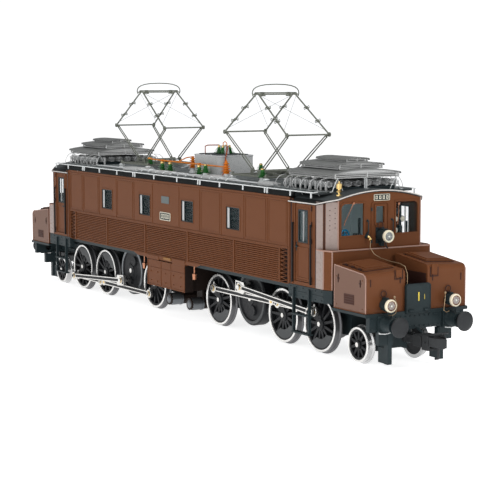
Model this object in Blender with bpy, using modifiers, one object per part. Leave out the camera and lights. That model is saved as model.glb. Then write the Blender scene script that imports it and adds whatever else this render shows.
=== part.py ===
"""Gauge 1 model of a twin-bogie rod-drive electric locomotive, in metres.

+X is the front, +Z is up, and the flange tips stand on z = 0 under the centre of the body.
"""

import math

import bmesh
import bpy
from mathutils import Matrix, Vector

# ---- driving dimensions -------------------------------------------------
GAP = 0.0003                # air between two pieces that touch
WALL = 0.0015               # sheet thickness of the body casting

FLANGE = 0.0013             # flange depth, and so the rail top above the floor
WHEEL_R = 0.0205            # tread radius of a driving wheel
PONY_R = 0.0126             # tread radius of a pony wheel
WHEEL_OUT = 0.0262          # outer face of a wheel from the middle
WHEEL_BACK = 0.0211         # back face of a wheel from the middle
AXLE_R = 0.0022
AXLE_PLAY = 0.0006          # slot wall to axle
DRIVER_X = (0.0552, 0.1513, 0.2006)
JACK_X = 0.1021
JACK_Z = 0.0283
JACK_R = 0.0213             # crank drum radius
JACK_OUT = 0.0246
JACK_BACK = 0.0152
PONY_X = 0.2486
WHEEL_Z = FLANGE + WHEEL_R
PONY_Z = FLANGE + PONY_R

CRANK = 0.0095              # crank throw
CRANK_ANGLE = {"front": 105.0, "rear": 245.0}
QUARTER = 90.0              # the left cranks lead the right ones by this
PIN_R = 0.0015
PIN_PLAY = 0.00025
COUPLING_IN, COUPLING_OUT = 0.0280, 0.0305
MAIN_IN, MAIN_OUT = 0.0315, 0.0343
PIN_PAST = 0.0012           # crank pin beyond the last rod on it

PIVOT_X = 0.1250            # bogie swivel
PIVOT_R = 0.0050
BOGIE_TOP = 0.0400
BOGIE_LOW = 0.0150
BOGIE_HALF = 0.0135
BOGIE_X = (0.0350, 0.2780)
DECK_X = (0.2405, 0.2815)   # footplate under the hoods
DECK_Z = (0.0384, 0.0401)
DECK_HALF = 0.0433
BEAM_Z = 0.0278             # lower edge of the buffer beam
BEAM_THICK = 0.0040
BUFFER_Y = 0.0274
BUFFER_Z = 0.0328
BUFFER_FACE = 0.3000
BUFFER_R = 0.0069
SLEEVE_R = 0.0044
SHANK_R = 0.0026
COUPLER_X = 0.2720
COUPLER_TIP = 0.3160
COUPLER_Z = 0.0205
TRUCK_X = 0.2300

HOOD_X = (0.2427, 0.2800)
HOOD_Y = (0.0095, 0.0424)
HOOD_TOP = {"right": (0.0723, 0.0687), "left": (0.0752, 0.0710)}   # at the cab and at the front
HOOD_FALL = 0.0017          # the top also falls towards the outside by this
HOOD_WALL = 0.0012
LAMP_R = 0.0039
LOW_LAMP = (0.2893, BUFFER_Y, 0.0460)
TOP_LAMP = (0.2480, 0.0, 0.0878)

BODY_HALF = 0.0449
BODY_LOW = 0.0516
EAVE = 0.1138
FRONT_X = 0.2368
CORNER_X = FRONT_X - 0.0128  # where the cab corner leaves the side
FRONT_HALF = BODY_HALF - 0.0096
NOSE_X = FRONT_X + 0.0028   # low nose in front of the cab windows
NOSE_HALF = BODY_HALF - 0.0029
NOSE_CORNER_X = FRONT_X - 0.0038
NOSE_TOP = 0.0791
ROOF_PEAK = 0.1202
ROOF_RISE = 0.0084137       # crown of the cab vault above its springing at the sides
ROOF_ARC = (BODY_HALF ** 2 + ROOF_RISE ** 2) / (2 * ROOF_RISE)
ROOF_SKIN = 0.0014
CAB_X = 0.1895              # rear end of the vault
OVERHANG = 0.0012
DECK_TOP = 0.1183           # roof walkway
DECK_EDGE = BODY_HALF - 0.0044
DECK_END = 0.2200

WINDOW = (0.0200, 0.0170)   # width and height of a side window
WINDOW_X = (0.0370, 0.1090)
WINDOW_LOW = 0.0833
DOOR_X = (0.1970, 0.2165)
DOOR_Z = (0.0543, 0.1099)
DOOR_THICK = 0.0011
RAIL_R = 0.0005
RAIL_Y = BODY_HALF + 0.0020

COOLER_X = 0.1875
COOLER_Z = (0.0509, 0.0765)
COOLER_Y = (BODY_HALF - 0.0031, BODY_HALF + 0.0002)
CASE_X = 0.0330
CASE_Z = (0.0258, 0.0472)

FLOOR_Z = (0.0475, 0.0505)
SOLE_X = (0.1880, NOSE_X)
SOLE_Z = (0.0420, 0.0513)
MOTOR_X = (0.0700, 0.1120)
MOTOR_R = 0.0145
MOTOR_Z = 0.0560

TIERS = (                   # x from, x to, half width, lower edge, height at the ridge
    (0.1610, 0.2220, 0.0290, 0.1275, 0.0064),
    (0.1640, 0.2140, 0.0200, 0.1345, 0.0040),
    (0.1710, 0.2090, 0.0105, 0.1392, 0.0024),
)

PANTO_X = {"front": 0.0983, "rear": -0.0958}
PANTO_HALF = 0.0160
BASE_PIVOT = (0.0055, 0.1263)   # from the pantograph's middle, at rest
ELBOW = (0.0460, 0.1553)
CROWN = (0.0018, 0.1853)
ELBOW_HALF = 0.0176
CROWN_HALF = 0.0167
TUBE_R = 0.0006
HINGE_R = 0.00045
HINGE_PLAY = 0.0003
BOW_HALF = 0.0212
BOW_RISE = 0.0065
FOOT_X, FOOT_Y = 0.0250, 0.0240

BUS_Y = -0.0220
BUS_Z = 0.1279
BUS_X = (-0.0600, 0.0600)
POSTS = (-0.0480, -0.0340, 0.0160, 0.0270)

PIVOT_LOW = 0.0330          # foot of the swivel pin
PIVOT_PLAY = 0.0004
TRUCK_Z = (0.0100, 0.0220)
TRUCK_HALF = 0.0115
TRUCK_PIN_R = 0.0024
PONY_GAP_X = 0.2225         # the frame rises here to clear the pony wheels
PONY_ROOM = 0.0300
COUPLER_PIN_R = 0.0018
BEAM_HALF = 0.0400
GUARD_X, GUARD_Y, GUARD_LOW = 0.2780, 0.0220, 0.0043
SLEEVE_END = 0.2920
SHANK_PLAY = 0.0003
HUB_R = 0.0050
ROD_HALF = 0.0018
ROD_WEB = 0.0003            # the bar is this much thinner than its eyes, each side
EYE_R = 0.0038
BIG_END_R = 0.0050
HOOD_ROUND = 0.0028
LID_X = (0.2470, 0.2715)
LID_Y = (0.0145, 0.0375)
LID_RISE = 0.0015
MOTOR_ROOM = 0.0040         # well in the floor beyond the motor, each way
MOTOR_WELL = 0.0200
DRUM_ROOM = 0.0030          # well in the floor beyond a crank drum
STEP_X = (0.1958, 0.2160)
STEP_BAR = 0.0007
STEP_OUT = 0.0014
STEP_Z = (0.0170, 0.0300)
CASE_SKIN = 0.0375          # the case is narrower along X inside this
TANK_X, TANK_Z, TANK_R, TANK_HALF = (-0.0265, 0.0090), 0.0124, 0.0050, 0.0280
STRAP_HALF = (0.0045, 0.0008)   # tank hanger, along X and along Y
STRAP_Y = 0.0173
COOLER_DIP = 0.0350
CAB_GLASS_Y = (0.0136, 0.0330)
CAB_GLASS_Z = (0.0886, 0.1112)
CAB_DOOR_GLASS = (0.0035, 0.0967, 0.1083)
DOOR_GLASS_X = (0.2005, 0.2128)
DOOR_GLASS_Z = (0.0820, 0.1056)
HANDRAIL_X = (0.1952, 0.2186)
HANDRAIL_Z = (0.0535, 0.0960)
LID_TAPER = 0.86
POST_HALF = 0.0007
TANK_BOX = (-0.0065, 0.0370, -0.0160, 0.0190, 0.1353)
BUS_R = 0.0008
POST_R = 0.0026
HEAD_BAR = 0.0012           # collector bar above the crown hinges
HEAD_PLATE_Y = 0.0115
HORN = 0.0070
OPEN_PLAY = 0.0006          # round the rear crown tube, which the tree leaves open

ENDS = {"front": 1, "rear": -1}
SIDES = {"left": 1, "right": -1}
OTHER_SIDE = {"left": "right", "right": "left"}

# ---- scene and materials ------------------------------------------------
for old in list(bpy.data.objects):
    bpy.data.objects.remove(old, do_unlink=True)

parts = bpy.data.collections.new("electric_locomotive")
tools = bpy.data.collections.new("cutters_and_joiners")
for made in (parts, tools):
    bpy.context.scene.collection.children.link(made)
tools.hide_render = True

COLOURS = {                 # colour, metallic, roughness
    "oxide_brown": ((0.20, 0.075, 0.050), 0.0, 0.42),
    "frame_black": ((0.025, 0.030, 0.033), 0.0, 0.50),
    "roof_grey": ((0.16, 0.17, 0.16), 0.2, 0.50),
    "cover_grey": ((0.30, 0.30, 0.29), 0.4, 0.45),
    "tank_grey": ((0.52, 0.53, 0.52), 0.0, 0.50),
    "wheel_black": ((0.020, 0.022, 0.024), 0.0, 0.45),
    "bright_steel": ((0.62, 0.60, 0.57), 1.0, 0.30),
    "copper_orange": ((0.75, 0.22, 0.05), 0.3, 0.40),
    "arm_grey": ((0.22, 0.22, 0.20), 0.6, 0.40),
    "motor_steel": ((0.40, 0.41, 0.43), 1.0, 0.40),
}


def material(name):
    found = bpy.data.materials.get(name)
    if found:
        return found
    colour, metallic, roughness = COLOURS[name]
    made = bpy.data.materials.new(name)
    made.use_nodes = True
    shader = made.node_tree.nodes["Principled BSDF"]
    shader.inputs["Base Color"].default_value = (*colour, 1.0)
    shader.inputs["Metallic"].default_value = metallic
    shader.inputs["Roughness"].default_value = roughness
    return made


# ---- shape makers: each returns a bmesh in world coordinates ---------------
def block(low, high):
    bm = bmesh.new()
    bmesh.ops.create_cube(bm, size=1.0)
    low, high = Vector(low), Vector(high)
    bmesh.ops.scale(bm, vec=high - low, verts=bm.verts)
    bmesh.ops.translate(bm, vec=(low + high) / 2, verts=bm.verts)
    return bm


def cylinder(start, end, radius, sides=12, radius_end=None):
    start, end = Vector(start), Vector(end)
    turn = (end - start).to_track_quat("Z", "X").to_matrix().to_4x4()
    bm = bmesh.new()
    bmesh.ops.create_cone(
        bm, cap_ends=True, segments=sides, radius1=radius,
        radius2=radius if radius_end is None else radius_end,
        depth=(end - start).length, matrix=Matrix.Translation((start + end) / 2) @ turn,
    )
    return bm


def prism(outline, axis, low, high):
    """A flat outline in the other two axes, in X, Y, Z order, drawn out along one axis."""
    across = "XYZ".index(axis)
    bm = bmesh.new()
    corners = []
    for point in outline:
        place = list(point)
        place.insert(across, low)
        corners.append(bm.verts.new(place))
    face = bm.faces.new(corners)
    grown = bmesh.ops.extrude_face_region(bm, geom=[face])["geom"]
    move = Vector((0, 0, 0))
    move[across] = high - low
    bmesh.ops.translate(bm, vec=move, verts=[g for g in grown if isinstance(g, bmesh.types.BMVert)])
    bmesh.ops.recalc_face_normals(bm, faces=bm.faces)
    return bm


def pipe(points, radius, closed=False, resolution=1):
    """A tube along straight runs, made as a bevelled curve and then read as a mesh."""
    curve = bpy.data.curves.new("pipe", "CURVE")
    curve.dimensions = "3D"
    curve.bevel_depth = radius
    curve.bevel_resolution = resolution
    curve.use_fill_caps = True
    spline = curve.splines.new("POLY")
    spline.points.add(len(points) - 1)
    for spot, point in zip(spline.points, points):
        spot.co = (*point, 1.0)
    spline.use_cyclic_u = closed
    guide = bpy.data.objects.new("pipe", curve)
    tools.objects.link(guide)
    mesh = bpy.data.meshes.new_from_object(guide.evaluated_get(bpy.context.evaluated_depsgraph_get()))
    bm = bmesh.new()
    bm.from_mesh(mesh)
    bmesh.ops.remove_doubles(bm, verts=bm.verts, dist=0.00001)
    bmesh.ops.recalc_face_normals(bm, faces=bm.faces)
    bpy.data.objects.remove(guide)
    bpy.data.curves.remove(curve)
    bpy.data.meshes.remove(mesh)
    return bm


def mirrored(bm, end):
    """The same shape on the rear bogie, which is the front one turned half round."""
    if end < 0:
        bmesh.ops.rotate(bm, verts=bm.verts, matrix=Matrix.Rotation(math.pi, 3, "Z"))
    return bm


def arc(centre, radius, first, last, steps):
    """Points of an arc, with its ends, by angles in degrees."""
    return [
        (
            centre[0] + radius * math.cos(math.radians(first + (last - first) * i / steps)),
            centre[1] + radius * math.sin(math.radians(first + (last - first) * i / steps)),
        )
        for i in range(steps + 1)
    ]


# ---- object makers ------------------------------------------------------
def place(bm, name, collection, origin):
    bmesh.ops.translate(bm, vec=-Vector(origin), verts=bm.verts)
    mesh = bpy.data.meshes.new(name)
    bm.to_mesh(mesh)
    bm.free()
    made = bpy.data.objects.new(name, mesh)
    made.location = origin
    collection.objects.link(made)
    return made


def operand(bm):
    made = place(bm, "operand", tools, (0, 0, 0))
    made.hide_render = True
    made.display_type = "WIRE"
    return made


def combine(piece, shapes, operation):
    for shape in shapes:
        step = piece.modifiers.new(operation.lower(), "BOOLEAN")
        step.operation = operation
        step.object = operand(shape)
        step.solver = "EXACT"


def node(name, bm, finish, origin=(0, 0, 0), add=(), cut=()):
    piece = place(bm, name, parts, origin)
    piece.data.materials.append(material(finish))
    combine(piece, add, "UNION")
    combine(piece, cut, "DIFFERENCE")
    piece.data.shade_smooth()
    piece.data.set_sharp_from_angle(angle=math.radians(35))
    return piece


def turned(name, half_profile, finish, centre, sides, add=()):
    """A wheelset or shaft: half a profile of (radius, distance from the middle), mirrored and spun."""
    profile = half_profile + [(r, -w) for r, w in reversed(half_profile)]
    bm = bmesh.new()
    line = [bm.verts.new((r, 0, w)) for r, w in profile]
    for a, b in zip(line, line[1:]):
        bm.edges.new((a, b))
    piece = place(bm, name, parts, (0, 0, 0))
    piece.location = centre
    piece.rotation_euler = (-math.pi / 2, 0, 0)
    piece.data.materials.append(material(finish))
    spin = piece.modifiers.new("spin", "SCREW")
    spin.steps = spin.render_steps = sides
    spin.use_merge_vertices = True
    spin.merge_threshold = 0.00001
    combine(piece, add, "UNION")
    return piece


def span(sign, first, last):
    """A stretch of one axis, given for the positive end or side, in rising order."""
    return sorted((sign * first, sign * last))


def box_at(end, side, xs, ys, zs):
    """A block given for the front left quarter of the model, put in any quarter."""
    (x0, x1), (y0, y1) = span(end, *xs), span(side, *ys)
    return block((x0, y0, zs[0]), (x1, y1, zs[1]))


def crank_offset(end_name, side):
    """From an axle to its crank pin, along X and Z."""
    angle = math.radians(CRANK_ANGLE[end_name] + (QUARTER if side > 0 else 0))
    return CRANK * math.cos(angle), CRANK * math.sin(angle)


# ---- underframe, with sole bars, steps and bogie pivots ----------------------
def underframe():
    plan_half = COOLER_Y[0] - GAP
    base = block((-FRONT_X + 0.004, -plan_half, FLOOR_Z[0]), (FRONT_X - 0.004, plan_half, FLOOR_Z[1]))
    joined, cuts = [], []
    for end in ENDS.values():
        joined.append(cylinder((end * PIVOT_X, 0, PIVOT_LOW), (end * PIVOT_X, 0, FLOOR_Z[1] - 0.001),
                               PIVOT_R, 16))
        well = (MOTOR_X[0] - MOTOR_ROOM, MOTOR_X[1] + MOTOR_ROOM)
        cuts.append(box_at(end, 1, well, (-MOTOR_WELL, MOTOR_WELL), (FLOOR_Z[0] - 0.01, FLOOR_Z[1] + 0.01)))
        chord = math.sqrt(JACK_R**2 - (FLOOR_Z[0] - JACK_Z) ** 2) + DRUM_ROOM
        for side in SIDES.values():
            drum = (JACK_BACK - DRUM_ROOM, JACK_OUT + DRUM_ROOM)
            cuts.append(box_at(end, side, (JACK_X - chord, JACK_X + chord), drum,
                               (FLOOR_Z[0] - 0.01, FLOOR_Z[1] + 0.01)))
            outline = [
                (end * SOLE_X[0], side * (plan_half - 0.001)),
                (end * SOLE_X[0], side * BODY_HALF),
                (end * NOSE_CORNER_X, side * BODY_HALF),
                (end * SOLE_X[1], side * NOSE_HALF),
                (end * SOLE_X[1], side * (NOSE_HALF - 0.003)),
                (end * NOSE_CORNER_X, side * (plan_half - 0.001)),
            ]
            joined.append(prism(outline, "Z", *SOLE_Z))
            for x in STEP_X:
                hang = (BODY_HALF - 0.0008, BODY_HALF + STEP_OUT)
                joined.append(box_at(end, side, (x - STEP_BAR, x + STEP_BAR), hang,
                                     (STEP_Z[0], SOLE_Z[1] - 0.002)))
            for z in STEP_Z:
                tread = (STEP_X[0] - 0.001, STEP_X[1] + 0.001)
                joined.append(box_at(end, side, tread, (BODY_HALF - 0.0022, RAIL_Y), (z, z + 0.0011)))
    node("underframe", base, "frame_black", add=joined, cut=cuts)


def transformer_case():
    narrow = CASE_X - 0.0050
    half = [(CASE_X, BODY_HALF), (CASE_X, CASE_SKIN), (narrow, CASE_SKIN), (narrow, -CASE_SKIN),
            (CASE_X, -CASE_SKIN), (CASE_X, -BODY_HALF)]
    outline = half + [(-x, -y) for x, y in half]
    tanks = []
    for x in TANK_X:
        tanks.append(cylinder((x, -TANK_HALF, TANK_Z), (x, TANK_HALF, TANK_Z), TANK_R, 12))
        for side in SIDES.values():
            across, along = STRAP_HALF
            ys = span(side, STRAP_Y - along, STRAP_Y + along)
            tanks.append(block((x - across, ys[0], TANK_Z), (x + across, ys[1], CASE_Z[0] + 0.001)))
    node("transformer_case", prism(outline, "Z", *CASE_Z), "oxide_brown", add=tanks)


# ---- body shell with its cab noses, hand rails and top lamps -----------------
def plan_corners(inset):
    """Cab corner points of the plan, moved in square to each face."""
    run, drop = FRONT_X - CORNER_X, BODY_HALF - FRONT_HALF
    slant = math.hypot(run, drop)
    return [
        (CORNER_X - inset * (slant - run) / drop, BODY_HALF - inset),
        (FRONT_X - inset, FRONT_HALF - inset * (slant - drop) / run),
    ]


def all_round(quarter):
    """A plan outline from the points of its front left quarter, side first."""
    front = quarter + [(x, -y) for x, y in reversed(quarter)]
    return front + [(-x, -y) for x, y in front]


def vault(drop, past):
    """The cab roof's arc across Y, lowered by drop and reaching past the sides."""
    reach = math.degrees(math.asin((BODY_HALF + past) / ROOF_ARC))
    return arc((0, ROOF_PEAK - drop - ROOF_ARC), ROOF_ARC, 90 + reach, 90 - reach, 12)


def roof_top(x, y):
    """Height of the roof surface under a point."""
    if abs(x) < CAB_X:
        return DECK_TOP
    return max(DECK_TOP, ROOF_PEAK - ROOF_ARC + math.sqrt(ROOF_ARC**2 - y**2))


def window_cutters():
    cuts = []
    for side in SIDES.values():
        for x in WINDOW_X:
            for end in ENDS.values():
                xs = (x - WINDOW[0] / 2, x + WINDOW[0] / 2)
                zs = (WINDOW_LOW, WINDOW_LOW + WINDOW[1])
                cuts.append(box_at(end, side, xs, (BODY_HALF - 0.004, BODY_HALF + 0.004), zs))
        for end in ENDS.values():
            cuts.append(box_at(end, side, DOOR_X, (BODY_HALF - 0.004, BODY_HALF + 0.001), DOOR_Z))
            cuts.append(box_at(end, side, (FRONT_X - 0.004, FRONT_X + 0.004), CAB_GLASS_Y, CAB_GLASS_Z))
    for end in ENDS.values():
        half = CAB_DOOR_GLASS[0]
        front = (FRONT_X - 0.004, FRONT_X + 0.004)
        cuts.append(box_at(end, 1, front, (-half, half), CAB_DOOR_GLASS[1:]))
    return cuts


def body_shell():
    nose = [(NOSE_CORNER_X, BODY_HALF), (NOSE_X, NOSE_HALF)]
    shell = prism(all_round(nose), "Z", BODY_LOW, ROOF_PEAK + 0.005)
    sky, beyond = ROOF_PEAK + 0.02, 0.01
    cuts = [
        block((-CAB_X, -0.06, EAVE - GAP), (CAB_X, 0.06, sky)),
        prism(all_round(plan_corners(WALL)), "Z", BODY_LOW - beyond, sky),
    ]
    room = [(CORNER_X - 0.007, BODY_HALF - WALL - GAP), (NOSE_CORNER_X - WALL / 4, BODY_HALF - WALL - GAP),
            (NOSE_X - WALL, NOSE_HALF - WALL)]
    cab = [(CORNER_X, BODY_HALF + beyond)] + plan_corners(0)
    for end in ENDS.values():
        above = [(end * x, y) for x, y in cab] + [(end * x, -y) for x, y in reversed(cab)]
        above += [(end * (NOSE_X + beyond), -BODY_HALF - beyond),
                  (end * (NOSE_X + beyond), BODY_HALF + beyond)]
        cuts.append(prism(above, "Z", NOSE_TOP, sky + beyond))
        plan = [(end * x, y) for x, y in room] + [(end * x, -y) for x, y in reversed(room)]
        cuts.append(prism(plan, "Z", BODY_LOW - 2 * beyond, NOSE_TOP - WALL))
        arch = vault(ROOF_SKIN + GAP, 0.004)
        gable = [(arch[0][0], sky)] + arch + [(arch[-1][0], sky)]
        cuts.append(prism(gable, "X", *span(end, CAB_X - GAP, NOSE_X + beyond)))
    for side in SIDES.values():
        recess = (COOLER_Y[0] - 0.002, BODY_HALF + beyond)
        cuts.append(box_at(1, side, (-COOLER_X - GAP, COOLER_X + GAP), recess,
                           (BODY_LOW - beyond, COOLER_Z[1] + GAP)))
    shell = node("body_shell", shell, "oxide_brown", cut=cuts + window_cutters())
    fittings = []
    for end in ENDS.values():
        x, y, z = TOP_LAMP
        fittings.append(cylinder((end * (FRONT_X - 0.0008), y, z), (end * x, y, z), LAMP_R))
        for side in SIDES.values():
            for rail_x in HANDRAIL_X:
                foot, out, (low, high), r = BODY_HALF - WALL / 2, RAIL_Y, HANDRAIL_Z, RAIL_R
                bracket = [(foot, high), (out, high), (out, low), (foot, low), (foot, low + 2 * r),
                           (out - 2 * r, low + 2 * r), (out - 2 * r, high - 2 * r), (foot, high - 2 * r)]
                outline = [(side * y, z) for y, z in bracket]
                fittings.append(prism(outline, "X", *span(end, rail_x - r, rail_x + r)))
    combine(shell, fittings, "UNION")


def cab_door(end_name, side_name):
    """A cab door leaf that swings into the cab about its forward edge."""
    end, side = ENDS[end_name], SIDES[side_name]
    inner = BODY_HALF - 0.0002 - DOOR_THICK
    hinge = (end * (DOOR_X[1] - GAP - DOOR_THICK / 2), side * (inner + DOOR_THICK / 2),
             (DOOR_Z[0] + DOOR_Z[1]) / 2)
    leaf = box_at(end, side, (DOOR_X[0] + GAP, DOOR_X[1] - GAP), (inner, inner + DOOR_THICK),
                  (DOOR_Z[0] + GAP, DOOR_Z[1] - GAP))
    glass = box_at(end, side, DOOR_GLASS_X, (inner - 0.002, inner + 0.004), DOOR_GLASS_Z)
    node(f"cab_door_{end_name}_{side_name}", leaf, "oxide_brown", origin=hinge, cut=[glass])


# ---- coolers: a bank of pipes along each side, a plain block here -------------
def cooler(side_name):
    side = SIDES[side_name]
    low, top = COOLER_Z
    dip = CASE_Z[1] + GAP
    outline = [(-COOLER_X, low), (-COOLER_DIP, low), (-COOLER_DIP, dip), (COOLER_DIP, dip),
               (COOLER_DIP, low), (COOLER_X, low), (COOLER_X, top), (-COOLER_X, top)]
    node(f"cooler_{side_name}", prism(outline, "Y", *span(side, *COOLER_Y)), "oxide_brown")


# ---- roof and what stands on it -------------------------------------------------
def roof():
    middle = [(-BODY_HALF, EAVE), (BODY_HALF, EAVE), (DECK_EDGE, DECK_TOP), (-DECK_EDGE, DECK_TOP)]
    ends = []
    for end in ENDS.values():
        skin = vault(0, OVERHANG) + vault(ROOF_SKIN, OVERHANG)[::-1]
        ends.append(prism(skin, "X", *span(end, CAB_X, FRONT_X + OVERHANG)))
    walkway = block((-DECK_END, -DECK_EDGE, DECK_TOP - ROOF_SKIN), (DECK_END, DECK_EDGE, DECK_TOP))
    run, drop = FRONT_X - CORNER_X, BODY_HALF - FRONT_HALF
    corners = []
    for end in ENDS.values():
        for side in SIDES.values():
            start, reach = CORNER_X + OVERHANG / 2, 0.030
            wedge = [
                (end * start, side * (BODY_HALF + OVERHANG)),
                (end * (start + reach), side * (BODY_HALF + OVERHANG - reach * drop / run)),
                (end * (start + reach), side * (BODY_HALF + 0.030)),
                (end * start, side * (BODY_HALF + 0.030)),
            ]
            corners.append(prism(wedge, "Z", EAVE - 0.02, ROOF_PEAK + 0.02))
    node("roof", prism(middle, "X", -CAB_X - 0.001, CAB_X + 0.001), "roof_grey", add=ends + [walkway],
         cut=corners)


def resistor_cover(end_name):
    """Three louvred lids, one above the other, on bent posts that stand on the walkway."""
    end = ENDS[end_name]
    lids = []
    for x0, x1, half, low, rise in TIERS:
        lid = block((end * (x0 + x1) / 2 - (x1 - x0) / 2, -half, low),
                    (end * (x0 + x1) / 2 + (x1 - x0) / 2, half, low + rise))
        top = [v for v in lid.verts if v.co.z > low + rise / 2]
        middle = end * (x0 + x1) / 2
        for v in top:
            v.co.y *= LID_TAPER
            v.co.x = middle + (v.co.x - middle) * LID_TAPER
        lids.append(lid)
    joined = lids[1:]
    for (x0, x1, half, low, rise), (_, _, _, above, _) in zip(TIERS, TIERS[1:]):
        middle = end * (x0 + x1) / 2
        joined.append(block((middle - 0.010, -0.004, low), (middle + 0.010, 0.004, above + 0.001)))
    x0, x1, half, low, _ = TIERS[0]
    for x in (x0 + 0.004, (x0 + x1) / 2, x1 - 0.004):
        for y in (-half + 0.003, half - 0.003):
            foot = roof_top(x, abs(y) - POST_HALF) + GAP
            joined.append(block((end * x - POST_HALF, y - POST_HALF, foot),
                                (end * x + POST_HALF, y + POST_HALF, low + 0.001)))
    node(f"resistor_cover_{end_name}", lids[0], "cover_grey", add=joined)


def breaker_tank():
    x0, x1, y0, y1, top = TANK_BOX
    radius = 0.006
    outline = (
        arc((x1 - radius, y1 - radius), radius, 0, 90, 3)
        + arc((x0 + radius, y1 - radius), radius, 90, 180, 3)
        + arc((x0 + radius, y0 + radius), radius, 180, 270, 3)
        + arc((x1 - radius, y0 + radius), radius, 270, 360, 3)
    )
    middle = (x0 + x1) / 2, (y0 + y1) / 2
    bushings = [
        cylinder((middle[0] + dx, middle[1], top - 0.001), (middle[0] + dx, middle[1], top + 0.007),
                 0.0026, 10, 0.0018)
        for dx in (-0.0045, 0.0045)
    ]
    node("breaker_tank", prism(outline, "Z", DECK_TOP + GAP, top), "tank_grey", add=bushings)


def high_voltage_line():
    line = pipe([(BUS_X[0], BUS_Y, BUS_Z), (BUS_X[1], BUS_Y, BUS_Z)], BUS_R)
    posts = [
        cylinder((x, BUS_Y, DECK_TOP + GAP), (x, BUS_Y, BUS_Z), POST_R, 10, POST_R * 0.6) for x in POSTS
    ]
    node("high_voltage_line", line, "copper_orange", add=posts)


# ---- pantographs -------------------------------------------------------------
def panto_base(name):
    middle = PANTO_X[name]
    b, pivot_z = BASE_PIVOT
    frame_z = pivot_z - 0.0040
    bars, cuts = [], []
    first = block((middle - FOOT_X - 0.001, -FOOT_Y - 0.001, frame_z),
                  (middle + FOOT_X + 0.001, -FOOT_Y + 0.001, frame_z + 0.0016))
    bars.append(block((middle - FOOT_X - 0.001, FOOT_Y - 0.001, frame_z),
                      (middle + FOOT_X + 0.001, FOOT_Y + 0.001, frame_z + 0.0016)))
    for x in (-b, b):
        bars.append(block((middle + x - 0.0012, -FOOT_Y, frame_z),
                          (middle + x + 0.0012, FOOT_Y, frame_z + 0.0013)))
        for side in SIDES.values():
            ys = span(side, PANTO_HALF + 0.0014, PANTO_HALF + 0.0028)
            bars.append(block((middle + x - 0.0018, ys[0], frame_z),
                              (middle + x + 0.0018, ys[1], pivot_z + 0.0016)))
        cuts.append(cylinder((middle + x, -FOOT_Y, pivot_z), (middle + x, FOOT_Y, pivot_z),
                             HINGE_R + HINGE_PLAY, 6))
    for x in (-FOOT_X, FOOT_X):
        for side in SIDES.values():
            bars.append(cylinder((middle + x, side * FOOT_Y, DECK_TOP + GAP),
                                 (middle + x, side * FOOT_Y, frame_z + 0.0008),
                                 0.0028, 6, 0.0012))
    node(f"panto_base_{name}", first, "arm_grey", add=bars, cut=cuts)


def lower_arm(name, lean):
    """A hinged rectangle: base shaft, two legs and elbow tube. lean is 1 for the front arm, -1 behind."""
    middle, (b, base_z), (e, elbow_z) = PANTO_X[name], BASE_PIVOT, ELBOW
    base_x, elbow_x = middle + lean * b, middle + lean * e
    loop = [(base_x, PANTO_HALF, base_z), (elbow_x, ELBOW_HALF, elbow_z),
            (elbow_x, -ELBOW_HALF, elbow_z), (base_x, -PANTO_HALF, base_z)]
    pins = [
        cylinder((base_x, -PANTO_HALF - 0.0034, base_z), (base_x, PANTO_HALF + 0.0034, base_z), HINGE_R, 6),
        cylinder((elbow_x, -ELBOW_HALF - 0.0024, elbow_z), (elbow_x, ELBOW_HALF + 0.0024, elbow_z),
                 HINGE_R, 6),
    ]
    word = "front" if lean > 0 else "rear"
    node(f"panto_{name}_lower_arm_{word}", pipe(loop, TUBE_R, closed=True), "arm_grey",
         origin=(base_x, 0, base_z), add=pins)


def upper_arm(name, lean):
    """Two legs and a cross tube at the crown, with an eye round each elbow pin."""
    middle, (e, elbow_z), (t, crown_z) = PANTO_X[name], ELBOW, CROWN
    elbow_x, crown_x = middle + lean * e, middle + lean * t
    eye_y = ELBOW_HALF + 0.0014
    route = [(elbow_x, eye_y, elbow_z), (crown_x, CROWN_HALF, crown_z),
             (crown_x, -CROWN_HALF, crown_z), (elbow_x, -eye_y, elbow_z)]
    eyes = [
        cylinder((elbow_x, side * (eye_y - 0.0005), elbow_z),
                 (elbow_x, side * (eye_y + 0.0005), elbow_z), 0.0014, 8)
        for side in SIDES.values()
    ]
    bore = cylinder((elbow_x, -0.03, elbow_z), (elbow_x, 0.03, elbow_z), HINGE_R + HINGE_PLAY, 6)
    word = "front" if lean > 0 else "rear"
    node(f"panto_{name}_upper_arm_{word}", pipe(route, TUBE_R), "arm_grey", origin=(elbow_x, 0, elbow_z),
         add=eyes, cut=[bore])


def panto_head(name):
    """Bow collector: a bar and a bow above it, on two plates that hang on the front crown tube."""
    middle, (t, crown_z) = PANTO_X[name], CROWN
    bar_z = crown_z + HEAD_BAR
    bow = [(middle, y * BOW_HALF, bar_z + z * BOW_RISE) for y, z in
           ((1.0, 0.0), (0.86, 0.62), (0.58, 1.0), (-0.58, 1.0), (-0.86, 0.62), (-1.0, 0.0))]
    plates, cuts = [], []
    for side in SIDES.values():
        ys = span(side, HEAD_PLATE_Y, HEAD_PLATE_Y + 0.0012)
        plates.append(block((middle - 0.0042, ys[0], crown_z - 0.0018),
                            (middle + 0.0042, ys[1], bar_z + 0.0003)))
        tip = pipe([(middle, side * BOW_HALF, bar_z),
                    (middle, side * (BOW_HALF - 0.0012), bar_z - HORN)], TUBE_R * 0.8)
        plates.append(tip)
    cuts.append(cylinder((middle + t, -0.02, crown_z), (middle + t, 0.02, crown_z), TUBE_R + HINGE_PLAY, 8))
    cuts.append(cylinder((middle - t, -0.02, crown_z), (middle - t, 0.02, crown_z), TUBE_R + OPEN_PLAY, 8))
    node(f"panto_head_{name}", pipe(bow, TUBE_R, closed=True), "arm_grey", origin=(middle + t, 0, crown_z),
         add=plates, cut=cuts)


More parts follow.
